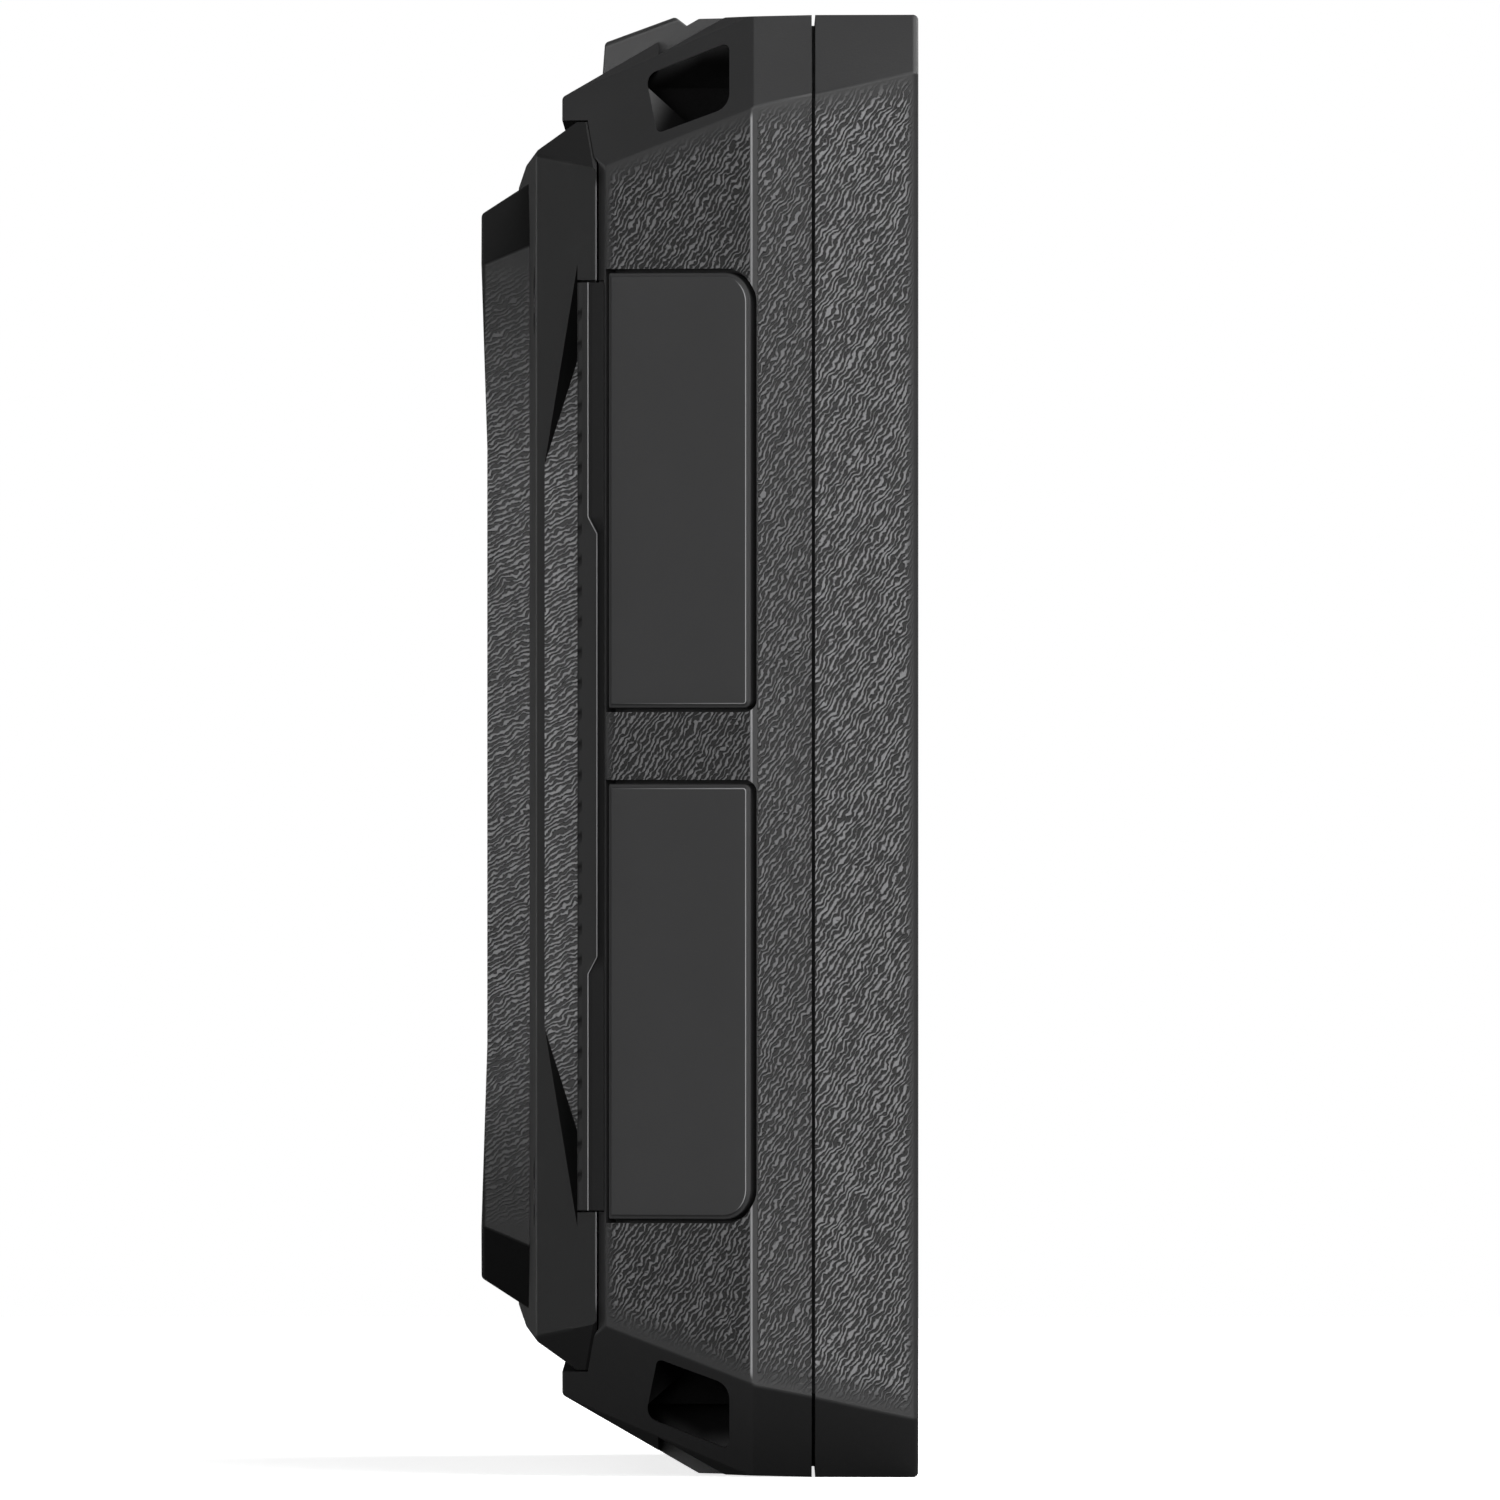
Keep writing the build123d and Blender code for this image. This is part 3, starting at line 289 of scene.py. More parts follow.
dull = sweep.node("ShaderNodeBsdfDiffuse", {}, {"Color": (0.12, 0.12, 0.12, 1)})
chosen = sweep.node("ShaderNodeMixShader", {}, {0: seen, 1: dull, 2: bright})
sweep.tree.links.new(chosen.socket, sweep.tree.nodes["Material Output"].inputs["Surface"])
floor_mesh.materials.append(sweep.material)
print("floor", 2 * floor_reach, "m across")

# %% [markdown]
# ## Moulded black plastic
# The case is injection moulded in black. The steel mould is etched, so the side walls carry a
# fine leather grain of slanted ripples, and the corner facets are left satin. Real ripples
# would take millions of faces, so the grain is a bump. A sine across the lean gives ridges that
# all run one way, a noise added to its phase makes them wander, and a finer noise breaks them
# up. The crests also carry a painted highlight and the valleys painted shade, since a bump alone
# loses its contrast under soft light. A mask worked out from the place on the case fades the
# grain out where a corner facet begins.

# %% The leather grain and the satin under it
grain_pitch = 0.29 * mm
wander_fine, wander_broad = 11.0, 15.0  # how far the phase wanders, in radians
break_up = 1.6                          # how much of a ridge's height the finer noise moves
grain_lean = (0.0, -0.66, 1.0)
cover_lean = (0.0, -1.0, 0.6)
bare_tones = (0.019, 0.026)
# Tones of the painted highlight on the grain's crests.
crest_painted_highlight_tones = (0.17, 0.21)
# Tones of the painted shade in the grain's valleys, of a painted highlight line and of the painted shade deep in
# recesses.
valley_painted_shade_tone, painted_highlight_line_tone, recess_painted_shade_tone = 0.003, 0.26, 0.003
corner_cut = 3.7 * mm
corner_slope = 0.218
rear_corner_slope = 0.966
corner_depth = 10.71 * mm
bevel_end = 20.31 * mm
end_bevel_depth = 14.0 * mm
bevel_slope = tan(radians(30))


def ripples(finish, lean):
    """Wavy ridges along lean, from 0 to 1: a sine across them whose phase wanders with a noise."""
    across = Vector(lean).cross(Vector((1.0, 0.0, 0.0))).normalized()
    travel = (finish.y * across.y + finish.z * across.z) * (tau / grain_pitch)
    wander = (finish.noise(1.7 * grain_pitch, 2.0, 0.5) * wander_fine
              + finish.noise(5.0 * grain_pitch, 1.0, 0.5) * wander_broad)
    wave = finish.node("ShaderNodeMath", {"operation": "SINE"}, {0: travel + wander})
    return wave * 0.5 + 0.5


def corner_distance(finish):
    """How far a point lies inside the case's slanted corner facets, in metres."""
    across = abs(finish.x) + abs(finish.z - middle)
    outer = half_width - corner_cut + middle
    front = outer - across - (finish.y - front_y) * corner_slope
    turned = outer - corner_slope * corner_depth
    rear = turned - across - (finish.y - front_y - corner_depth) * rear_corner_slope
    return front.smaller(rear) / sqrt(2)


def under_skin(finish):
    """How deep a point lies under the case's outer walls, slants and front, in metres."""
    depth = finish.y - front_y
    ends = half_width - abs(finish.x) - (depth - corner_depth).larger(0.0) * bevel_slope
    tops = middle - abs(finish.z - middle) - (depth - end_bevel_depth).larger(0.0) * bevel_slope
    return ends.smaller(tops).smaller(depth)


def plastic(finish, mask, lean, line=0.0, depth=0.15 * mm, gain=1.0, shade=1.0, base=1.0):
    """Black moulded plastic, grained where mask is 1 and satin where it is 0.

    The grain is depth deep; its crests carry a painted highlight and its valleys painted shade.
    A painted highlight line goes where line is 1, and painted shade, with its gloss taken away,
    where shade is 0. gain scales the tone of the crests' painted highlight, and base the tone of
    the satin.
    """
    broken = (finish.noise(1.4 * grain_pitch, 1.0, 0.5) - 0.5) * break_up
    grain = finish.step(ripples(finish, lean) + broken, 0.30, 0.85)
    satin = finish.noise(0.16 * mm, 2.0, 0.6)
    cloud = finish.noise(9 * mm, 3.0, 0.55)
    rubbed = finish.step(finish.noise(3.2 * mm, 4.0, 0.7), 0.55, 0.8)
    height = grain * mask + satin * 0.04
    bare = finish.blend(cloud * 0.6 + rubbed * 0.3, *[grey(tone * base) for tone in bare_tones])
    # Painted highlight on the grain's crests; the next line gives the valleys painted shade.
    crest_highlight = finish.blend(cloud * 0.5 + rubbed * 0.2, *[grey(tone * gain) for tone in crest_painted_highlight_tones])
    tone = finish.blend(grain * mask, finish.blend(mask, bare, grey(valley_painted_shade_tone)), crest_highlight)
    # A painted highlight line where line is 1.
    tone = finish.blend(line, tone, grey(painted_highlight_line_tone))
    # Painted shade where shade is 0.
    tone = finish.blend(shade, grey(recess_painted_shade_tone), tone)
    rough = finish.span(cloud, 0.44, 0.52) + satin * 0.06 - rubbed * 0.05
    # Where shade is below 1, a metallic factor of 1 - shade also takes away the gloss, so the painted shade holds
    # no reflection.
    if isinstance(shade, Wire):
        finish.connect(Metallic=1.0 - shade)
    return finish.connect(Base_Color=tone, Roughness=rough, Normal=finish.bump(height, depth))


def strip(finish, value, start, end, soft=0.04 * mm):
    """1 where a length lies between start and end, with soft edges."""
    return finish.step(value, start - soft, start + soft) * finish.step(value, end + soft, end - soft)


# %% Grained case plastic and satin cover plastic
case_finish = Finish("black case plastic", Specular_IOR_Level=0.5)
inside_corner = corner_distance(case_finish)
buried = under_skin(case_finish)
from_front = case_finish.y - front_y
facet_mask = case_finish.step(inside_corner, 0.1 * mm, 1.6 * mm)
lip_mask = case_finish.step(bevel_end - from_front, 0.0, 0.6 * mm)
skin_mask = case_finish.step(buried, 0.9 * mm, 0.5 * mm)
smooth_band = strip(case_finish, from_front, corner_depth - 0.30 * mm, corner_depth + 0.22 * mm)
on_side = case_finish.step(buried, 0.35 * mm, 0.25 * mm)
on_side = on_side * case_finish.step(inside_corner, 0.2 * mm, 0.6 * mm)
# A painted highlight along the edge where the side wall meets the slanted wall behind it.
side_edge_highlight = strip(case_finish, from_front, corner_depth + 0.06 * mm, corner_depth + 0.20 * mm) * on_side
# Painted shade in the slots and recesses: it begins 0.3 mm under the surface and is full from 3.2 mm down.
hollow_painted_shade = case_finish.step(buried.smaller(inside_corner), 3.2 * mm, 0.3 * mm)
facing = case_finish.node("ShaderNodeNewGeometry", {}, {}, "True Normal")
sideways = abs(case_finish.node("ShaderNodeSeparateXYZ", {}, {0: facing}, "X"))
turn_facet = case_finish.step(sideways, 0.72, 0.68)
near_edge = case_finish.step(abs(case_finish.z - middle), 45.5 * mm, 44.0 * mm)
grain_mask = near_edge * facet_mask * lip_mask * skin_mask * (1.0 - smooth_band) * (1.0 - turn_facet)
case_plastic = plastic(case_finish, grain_mask, grain_lean, side_edge_highlight, gain=0.75, shade=hollow_painted_shade)

bezel_finish = Finish("black bezel plastic", Specular_IOR_Level=0.5)
facet_mask = bezel_finish.step(corner_distance(bezel_finish), 0.1 * mm, 1.6 * mm)
front_mask = bezel_finish.step(bezel_finish.y - front_y, 0.3 * mm, 0.9 * mm)
# gain makes the painted highlight on the bezel's grain crests stronger than on the case, so the bezel reads
# lighter.
bezel_plastic = plastic(bezel_finish, facet_mask * front_mask, grain_lean, gain=1.14)

cover_finish = Finish("black cover plastic", Specular_IOR_Level=0.5)
facing = cover_finish.node("ShaderNodeNewGeometry", {}, {}, "True Normal")
upright = abs(cover_finish.node("ShaderNodeSeparateXYZ", {}, {0: facing}, "X"))
boss_middle = abs(cover_finish.z - middle)
# The grain and its painted highlight fade out towards the boss's ends, and the painted shade below takes their
# place, so the boss wall darkens towards its ends.
boss_grain_and_shade_fade = cover_finish.step(boss_middle, 31.5 * mm, 17.0 * mm, "LINEAR")
from_front = cover_finish.y - front_y
# A painted highlight along the cover's foot, just behind its seam with the case.
foot_edge_highlight = strip(cover_finish, from_front, 20.86 * mm, 20.98 * mm)
foot_edge_highlight = foot_edge_highlight * cover_finish.step(boss_middle, 37.0 * mm, 36.0 * mm)
cover_grain = cover_finish.step(upright, 0.90, 0.95) * boss_grain_and_shade_fade
# Painted shade, down to 0.55, on faces turned towards the case's ends where they carry no grain; a metallic factor
# takes their gloss too.
cover_painted_shade = 1.0 - cover_finish.step(upright, 0.5, 0.8) * (1.0 - cover_grain) * 0.45
cover_plastic = plastic(cover_finish, cover_grain, cover_lean, foot_edge_highlight,
                        depth=0.11 * mm, gain=1.45, shade=cover_painted_shade, base=0.5)

button_finish = Finish("button plastic", Specular_IOR_Level=0.5)
button_plastic = plastic(button_finish, 0.0, grain_lean)
print("plastics", case_plastic.name, "and", cover_plastic.name)

# %% [markdown]
# ## Rubber, glass and metal
# The flaps and the bar they hang from are moulded silicone rubber: matte, smooth and a little
# greyer than the plastic, with dust in its finest pores. The screen's glass is black behind its
# border, with the switched-off display a shade lighter. Screws are blackened steel, inserts are
# brass and contacts are gold plated.

# %% Rubber
def rubber(name, dark, light, roughness, gloss=0.4):
    """Matte moulded rubber with fine pores, a faint cloudy bloom and a painted highlight line.

    The attribute named rim is 1 on the painted highlight line of a piece and 0 elsewhere.
    """
    finish = Finish(name, Specular_IOR_Level=gloss)
    pores = finish.noise(0.12 * mm, 3.0, 0.7)
    bloom = finish.noise(6 * mm, 3.0, 0.6)
    tone = finish.blend(bloom * 0.7 + pores * 0.3, grey(dark), grey(light))
    rim = finish.node("ShaderNodeAttribute", {"attribute_name": "rim"}, {}, "Fac")
    # Painted highlight: pale grey where the attribute is 1.
    tone = finish.blend(rim, tone, grey(0.30))
    rough = finish.span(bloom, roughness - 0.04, roughness + 0.06)
    return finish.connect(Base_Color=tone, Roughness=rough, Normal=finish.bump(pores, 0.006 * mm))


flap_rubber = rubber("flap rubber", 0.026, 0.036, 0.56)
spine_rubber = rubber("bar rubber", 0.010, 0.015, 0.6, gloss=0.2)
seal_rubber = rubber("seal rubber", 0.006, 0.012, 0.7)
foam = rubber("closed cell foam", 0.02, 0.05, 0.9)
print("rubbers made")


# %% Metals and bare materials
def metal(name, colour, worn, roughness, grain=0.25 * mm):
    """A machined or stamped metal: fine turning marks, a few rubbed patches."""
    finish = Finish(name, Metallic=1.0)
    marks = finish.noise(grain, 4.0, 0.65, 0.4)
    patches = finish.step(finish.noise(1.5 * mm, 3.0, 0.6), 0.45, 0.7)
    tone = finish.blend(patches * 0.6 + marks * 0.3, colour, worn)
    rough = finish.span(marks, roughness - 0.08, roughness + 0.1)
    return finish.connect(Base_Color=tone, Roughness=rough, Normal=finish.bump(marks, 0.004 * mm))


def board(name, resin, trace):
    """Solder-resist lacquer over copper: straight traces show as a paler, raised web."""
    finish = Finish(name, Coat_Weight=0.3, Coat_Roughness=0.2)
    lanes = finish.node("ShaderNodeTexBrick", {"offset": 0.37, "squash": 1.0}, {
        "Vector": finish.node("ShaderNodeMapping", {}, {
            "Vector": finish.place, "Rotation": (radians(90), 0, 0)}),
        "Scale": 420.0, "Mortar Size": 0.035, "Color1": (0, 0, 0, 1), "Color2": (0.2, 0.2, 0.2, 1),
        "Mortar": (1, 1, 1, 1)})
    lane = finish.node("ShaderNodeRGBToBW", {}, {0: lanes})
    mottle = finish.noise(2 * mm, 3.0)
    tone = finish.blend(lane * 0.8 + mottle * 0.15, resin, trace)
    return finish.connect(Base_Color=tone, Roughness=finish.span(mottle, 0.3, 0.45),
                          Normal=finish.bump(lane, 0.03 * mm))


def dielectric(name, dark, light, roughness, size=0.6 * mm, depth=0.01 * mm):
    """A plain non-metal with mottled tone and a light surface texture."""
    finish = Finish(name)
    mottle = finish.noise(size, 4.0, 0.6)
    slow = finish.noise(size * 9, 2.0)
    tone = finish.blend(mottle * 0.6 + slow * 0.4, dark, light)
    return finish.connect(Base_Color=tone, Roughness=finish.span(slow, roughness - 0.05, roughness + 0.08),
                          Normal=finish.bump(mottle, depth))


screw_steel = metal("blackened screw steel", (0.06, 0.06, 0.065), (0.22, 0.22, 0.23), 0.36)
brass = metal("insert brass", (0.60, 0.42, 0.16), (0.78, 0.58, 0.26), 0.26)
gold = metal("contact gold", (0.83, 0.60, 0.22), (0.95, 0.74, 0.34), 0.2)
tin = metal("tinned steel", (0.52, 0.53, 0.55), (0.68, 0.69, 0.70), 0.3)
frame_metal = metal("cast magnesium", (0.30, 0.31, 0.32), (0.42, 0.43, 0.44), 0.5, 0.6 * mm)
circuit_board = board("green board", (0.004, 0.05, 0.022), (0.02, 0.14, 0.06))
ceramic = dielectric("antenna ceramic", (0.55, 0.50, 0.42), (0.70, 0.65, 0.56), 0.45)
battery_film = dielectric("battery wrap", (0.10, 0.11, 0.13), (0.16, 0.17, 0.20), 0.3)
component_black = dielectric("component black", (0.012, 0.012, 0.013), (0.03, 0.03, 0.032), 0.5)
flex_film = dielectric("flexible circuit", (0.42, 0.20, 0.05), (0.55, 0.28, 0.08), 0.35)
print("metals and bare materials made")

# %% Glass with a dark border and the sleeping display
border = (10.5 * mm, 9.0 * mm)
glass_finish = Finish("screen glass", Specular_IOR_Level=0.5)
inside_x = glass_finish.step(half_width - border[0] - abs(glass_finish.x), -0.05 * mm, 0.05 * mm)
inside_z = glass_finish.step(middle - border[1] - abs(glass_finish.z - middle), -0.05 * mm, 0.05 * mm)
smear = glass_finish.noise(14 * mm, 3.0, 0.5)
pixel_tone = glass_finish.blend(smear * 0.3, (0.010, 0.011, 0.014), (0.014, 0.015, 0.019))
glass_tone = glass_finish.blend(inside_x * inside_z, (0.003, 0.003, 0.004), pixel_tone)
screen_glass = glass_finish.connect(Base_Color=glass_tone, Roughness=glass_finish.span(smear, 0.12, 0.18))
display = dielectric("display panel", (0.012, 0.012, 0.015), (0.02, 0.02, 0.024), 0.2)
print("glass border", [round(1000 * b, 1) for b in border], "mm")

# %% Give every engineering part its finish
finish_of = {
    "case_plastic": case_plastic, "cover_plastic": cover_plastic, "flap_rubber": flap_rubber,
    "button_plastic": button_plastic, "seal_rubber": seal_rubber, "screen_glass": screen_glass,
    "display": display, "frame_metal": frame_metal, "screw_steel": screw_steel,
    "circuit_board": circuit_board, "tin_shield": tin, "ceramic": ceramic,
    "battery_film": battery_film, "foam": foam, "component_black": component_black,
    "flex_film": flex_film, "brass_insert": brass, "contact_gold": gold,
}
slot_of = {row["node"]: row["material_slot"] for row in frame["record"]["subparts"]}
for name, part in frame["nodes"].items():
    part.data.materials.clear()
    part.data.materials.append(finish_of[slot_of[name]])
print("finished", len(frame["nodes"]), "engineering parts")

# %% [markdown]
# ## Rounded copies of the engineering parts
# The engineering parts are right in shape, but their small edges are perfectly sharp, and no
# moulded edge is: it is the thin line of light on each rounding that makes a black part
# readable. The edges could be rounded by hand, one at a time. Instead each visible part is
# copied, its loose triangles are merged, the flat faces made whole again, and a Bevel modifier
# rounds every edge that turns sharply. The copy then stands for the original.

# %% Copy, merge and round a part
def rounded_copy(node, piece, finish, body="case", edge=0.12 * mm, segments=2, sharp=28,
                 merge=0.002 * mm):
    """A copy of an engineering part, merged up to merge metres, its sharp edges rounded by edge."""
    work = bmesh.new()
    work.from_mesh(frame["nodes"][node].data)
    bmesh.ops.remove_doubles(work, verts=work.verts, dist=merge)
    bmesh.ops.dissolve_degenerate(work, dist=merge, edges=work.edges)
    bmesh.ops.dissolve_limit(work, angle_limit=radians(0.5), verts=work.verts, edges=work.edges)
    mesh = bpy.data.meshes.new(piece)
    work.to_mesh(mesh)
    work.free()
    made = show(mesh, piece, finish, body)
    if segments:
        bevel = made.modifiers.new("edge", "BEVEL")
        bevel.width = edge
        bevel.segments = segments
        bevel.limit_method = "ANGLE"
        bevel.angle_limit = radians(sharp)
        bevel.miter_outer = "MITER_ARC"
    soften(made)
    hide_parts(node)
    print(piece, "has", len(mesh.polygons), "faces before rounding")
    return made


def show(mesh, piece, finish, body):
    """Puts a mesh in the scene as a named piece that rides on a body."""
    made = bpy.data.objects.new(piece, mesh)
    bpy.context.scene.collection.objects.link(made)
    mesh.materials.clear()
    mesh.materials.append(finish)
    mesh.shade_smooth()
    if body:
        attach(made, body)
    return made


def soften(made):
    """Shades flat faces flat and roundings round, by weighting normals with face area."""
    weighted = made.modifiers.new("shading", "WEIGHTED_NORMAL")
    weighted.keep_sharp = True
    weighted.weight = 90


# %% Round the case, the cover, the button and the glass
rounded_copy("front_bezel", "bezel_moulding", bezel_plastic, edge=0.15 * mm, merge=0.03 * mm)
rounded_copy("rear_housing", "housing_moulding", case_plastic, edge=0.18 * mm)
rounded_copy("rear_cover", "cover_moulding", cover_plastic, edge=0.25 * mm)
rounded_copy("power_button", "button_cap", button_plastic, "button", edge=0.12 * mm, segments=3)
rounded_copy("cover_glass", "screen_pane", screen_glass, edge=0.2 * mm, segments=3)
rounded_copy("cover_screws", "cover_screw_set", screw_steel, edge=0.1 * mm)
rounded_copy("usb_socket", "usb_shell", tin, edge=0.05 * mm)
rounded_copy("audio_jack", "headphone_jack", component_black, edge=0.12 * mm)

# %% [markdown]
# ## Surfaces from two parameters
# Rubber and turned metal have no flat faces to round, so they are drawn as surfaces. Each one is
# a closed section that is carried along a path. Both the points of the section and the steps
# of the path are whole arrays, so a surface is one expression, and its faces come from an
# array of indices.

# %% Turn a grid of points into a closed mesh
def skin(grid, ring=False):
    """Faces over a grid of points, rows by columns by 3.

    The columns run round a closed section. The rows close too when ring is true; otherwise the
    first and the last section are closed by a flat face.
    """
    rows, columns, _ = grid.shape
    index = np.arange(rows * columns).reshape(rows, columns)
    path = np.vstack([index, index[:1]]) if ring else index
    beside = np.roll(path, -1, axis=1)
    quads = np.stack([path[:-1], beside[:-1], beside[1:], path[1:]], axis=-1).reshape(-1, 4)
    faces = quads.tolist()
    if not ring:
        faces += [index[0].tolist(), index[-1].tolist()]
    return grid.reshape(-1, 3), faces


def mesh_of(name, *skins):
    """One mesh from several closed skins, with every face turned outwards."""
    mesh = bpy.data.meshes.new(name)
    points = np.concatenate([p for p, _ in skins])
    starts = np.cumsum([0] + [len(p) for p, _ in skins])
    faces = [[corner + start for corner in face]
             for (_, some), start in zip(skins, starts.tolist()) for face in some]
    mesh.from_pydata(points.tolist(), [], faces)
    work = bmesh.new()
    work.from_mesh(mesh)
    bmesh.ops.recalc_face_normals(work, faces=work.faces)
    work.to_mesh(mesh)
    work.free()
    return mesh


def mark_painted_highlight(mesh, values):
    """Stores a number per point, which the rubber's finish reads as its painted highlight line."""
    rim = mesh.attributes.new("rim", "FLOAT", "POINT")
    rim.data.foreach_set("value", np.asarray(values, np.float32).ravel())
    return mesh


def smooth_corners(corners, radii, steps=5):
    """A closed outline through corners, each turned on a parabola that starts radius away."""
    here = np.array(corners, float)
    back = np.roll(here, 1, axis=0) - here
    on = np.roll(here, -1, axis=0) - here
    reach = np.array(radii, float)[:, None]
    start = here + back / np.linalg.norm(back, axis=1)[:, None] * reach
    stop = here + on / np.linalg.norm(on, axis=1)[:, None] * reach
    t = np.linspace(0, 1, steps)[None, :, None]
    curve = start[:, None] * (1 - t) ** 2 + 2 * here[:, None] * t * (1 - t) + stop[:, None] * t ** 2
    return curve.reshape(-1, 2)


# %% [markdown]
# ## Rubber port flaps
# Each flap is a thick rubber plate that lies in a matching recess on the slanted wall. Its rim
# is rolled over, so a line of light follows it, and a raised bar on its inside plugs the
# sockets' bay. A painted highlight also runs along the rim near its far edge. Its outline is a
# rectangle whose two front corners have different radii. One section per height, drawn smaller
# and smaller, gives the wall, the rolled rim and the face.

# %% The slanted plane that the flaps lie in
hinge_at = Vector(frame["joints"][0]["pos_m"])
lean = radians(30)
forward = np.array([-sin(lean), -cos(lean), 0])
outward = np.array([-cos(lean), sin(lean), 0])
upward = np.array([0, 0, 1.0])
hinge_line = np.array([hinge_at.x, hinge_at.y, 0])


def on_port_plane(ahead, height, proud):
    """Points a distance ahead of the hinge line, at a height, standing proud of the wall."""
    return (hinge_line + np.multiply.outer(ahead, forward) + np.multiply.outer(height, upward)
            + np.multiply.outer(proud, outward))


def plate_rings(edges, radii, sections, steps=10):
    """Stacked outlines of a plate. edges is (near, far, low, high) and radii its four corners.

    Each section is (inset, proud): the outline is drawn inset inside the edges, its corner
    radii shrinking by inset, at that height above the wall.
    """
    near, far, bottom, top = edges
    turn = np.linspace(0, pi / 2, steps)
    signs = [(1, -1, -pi / 2), (1, 1, 0), (-1, 1, pi / 2), (-1, -1, pi)]
    rings = []
    for inset, proud in sections:
        ring = []
        for (ahead_sign, up_sign, start), radius in zip(signs, radii):
            reach = max(radius, inset + 0.02 * mm)
            corner = (far - reach if ahead_sign > 0 else near + reach,
                      top - reach if up_sign > 0 else bottom + reach)
            ring.append(np.stack([corner[0] + (reach - inset) * np.cos(start + turn),
                                  corner[1] + (reach - inset) * np.sin(start + turn),
                                  np.full(steps, proud)], axis=-1))
        rings.append(np.concatenate(ring))
    rings = np.array(rings)
    return on_port_plane(rings[..., 0], rings[..., 1], rings[..., 2])


def rolled(radius, top, steps=6):
    """Sections of a rim rolled over on a quarter circle that ends level at top."""
    angle = np.linspace(0, pi / 2, steps)
    return list(zip(radius * (1 - np.cos(angle)), top - radius + radius * np.sin(angle)))


# %% Mould the two flaps
flap_thickness = 1.2 * mm
hinge_gap = 0.12 * mm
rim_step = 0.22 * mm
rim_radius = 0.1 * mm
rim_levels = (-0.14 * mm, -0.05 * mm, -0.03 * mm)  # rolled rim, foot and edge of the raised face
face_dome = 0.012 * mm
# The painted highlight along the flap's far edge reaches this far in and fades over this.
highlight_reach, highlight_fade = 1.0 * mm, 0.6 * mm     # from the far edge
bar_corner, bar_edge = 0.8 * mm, 0.25 * mm
plug_span = (2.6 * mm, 7.0 * mm)
plug_proud = 1.4 * mm
plug_inset = 2.34 * mm


def flap_mesh(node, up):
    """A rubber flap: a plate with a stepped rim, a soft dome of 0.03 mm and a plug bar behind."""
    low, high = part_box(node)
    far = (hinge_at.y - low.y - flap_thickness * sin(lean)) / cos(lean)
    large, small, square = 1.95 * mm, 0.5 * mm, 0.15 * mm
    radii = (small, large, square, square) if up else (large, small, square, square)
    back, rolled_top, foot, edge = -flap_thickness, *rim_levels
    face = [(0.6 * mm, back), (rim_radius, back), (0, back + rim_radius)]
    face += rolled(rim_radius, rolled_top)
    face += [(rim_step, rolled_top + 0.01 * mm), (rim_step + 0.04 * mm, foot)]
    line = len(face)
    face += [(rim_step + 0.055 * mm, edge - 0.005 * mm), (rim_step + 0.105 * mm, edge)]
    face += [(rim_step + 0.12 * mm, edge), (0.8 * mm, -face_dome), (2.2 * mm, 0)]
    plate = plate_rings((hinge_gap, far, low.z, high.z), radii, face)
    tip = back - plug_proud
    bar = [(0.5 * mm, tip), (bar_edge, tip), (0, tip + bar_edge), (0, back + rim_radius)]
    plug = plate_rings((*plug_span, low.z + plug_inset, high.z - plug_inset), [bar_corner] * 4, bar)
    # Painted highlight on the edge of the raised face, near the far edge.
    flap_highlight = np.zeros(plate.shape[:2])
    ahead = (plate[line:line + 2] - hinge_line) @ forward
    flap_highlight[line:line + 2] = np.clip((ahead - far + highlight_reach) / highlight_fade, 0, 1)
    rim = np.concatenate([flap_highlight.ravel(), np.zeros(plug.shape[0] * plug.shape[1])])
    return mark_painted_highlight(mesh_of(node, skin(plate), skin(plug)), rim)


for node, body, up in (("upper_port_flap", "upper_flap", True),
                       ("lower_port_flap", "lower_flap", False)):
    flap = show(flap_mesh(node, up), node + "_rubber", flap_rubber, body)
    soften(flap)
    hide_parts(node)
    print(flap.name, [round(1000 * side, 1) for side in flap.dimensions], "mm")

# %% [markdown]
# ## Living hinges
# Rubber flaps have no pins: a thin web joins each flap to the bar beside it. A stiff strip
# would tear away from one of them when the flap opens. The web is divided finely across the
# hinge line, but it rides on neither body and does not bend.

# %% Lay a web across each hinge line
web_reach = (-0.40 * mm, 0.70 * mm)
web_levels = (-0.85 * mm, -0.45 * mm)
web_margin = 1.2 * mm


def web_mesh(node):
    """A flat strip across the hinge line, swollen a little where it meets the rubber."""
    low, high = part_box(node)
    across = np.linspace(*web_reach, 15)
    swell = 0.12 * mm * np.abs(np.linspace(-1, 1, 15)) ** 3
    ahead = np.concatenate([across, across[::-1]])
    proud = np.concatenate([web_levels[0] - swell, web_levels[1] + swell[::-1]])
    height = np.linspace(low.z + web_margin, high.z - web_margin, 9)
    section = on_port_plane(ahead, np.zeros_like(ahead), proud)
    return mesh_of(node + "_web", skin(section[None] + height[:, None, None] * upward))


for node, body in (("upper_port_flap", "upper_flap"), ("lower_port_flap", "lower_flap")):
    web = show(web_mesh(node), node + "_web", flap_rubber, None)
    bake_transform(web)
print("webs bend over", round(1000 * (web_reach[1] - web_reach[0]), 2), "mm")

# %% [markdown]
# ## The rubber bar behind the flaps
# Both flaps hang from one moulded bar that is clamped under the rear cover. Its outer side has
# a groove and a sharp ridge, and the ridge steps forward between the flaps' middles, where a
# fingertip pulls. Slanted nicks along its rear corner stop the finger slipping. The section is
# drawn twice, once for the ends and once for the middle, and the bar runs from one to the
# other. The nicks push the rear corner inwards with a repeating pulse along the height.

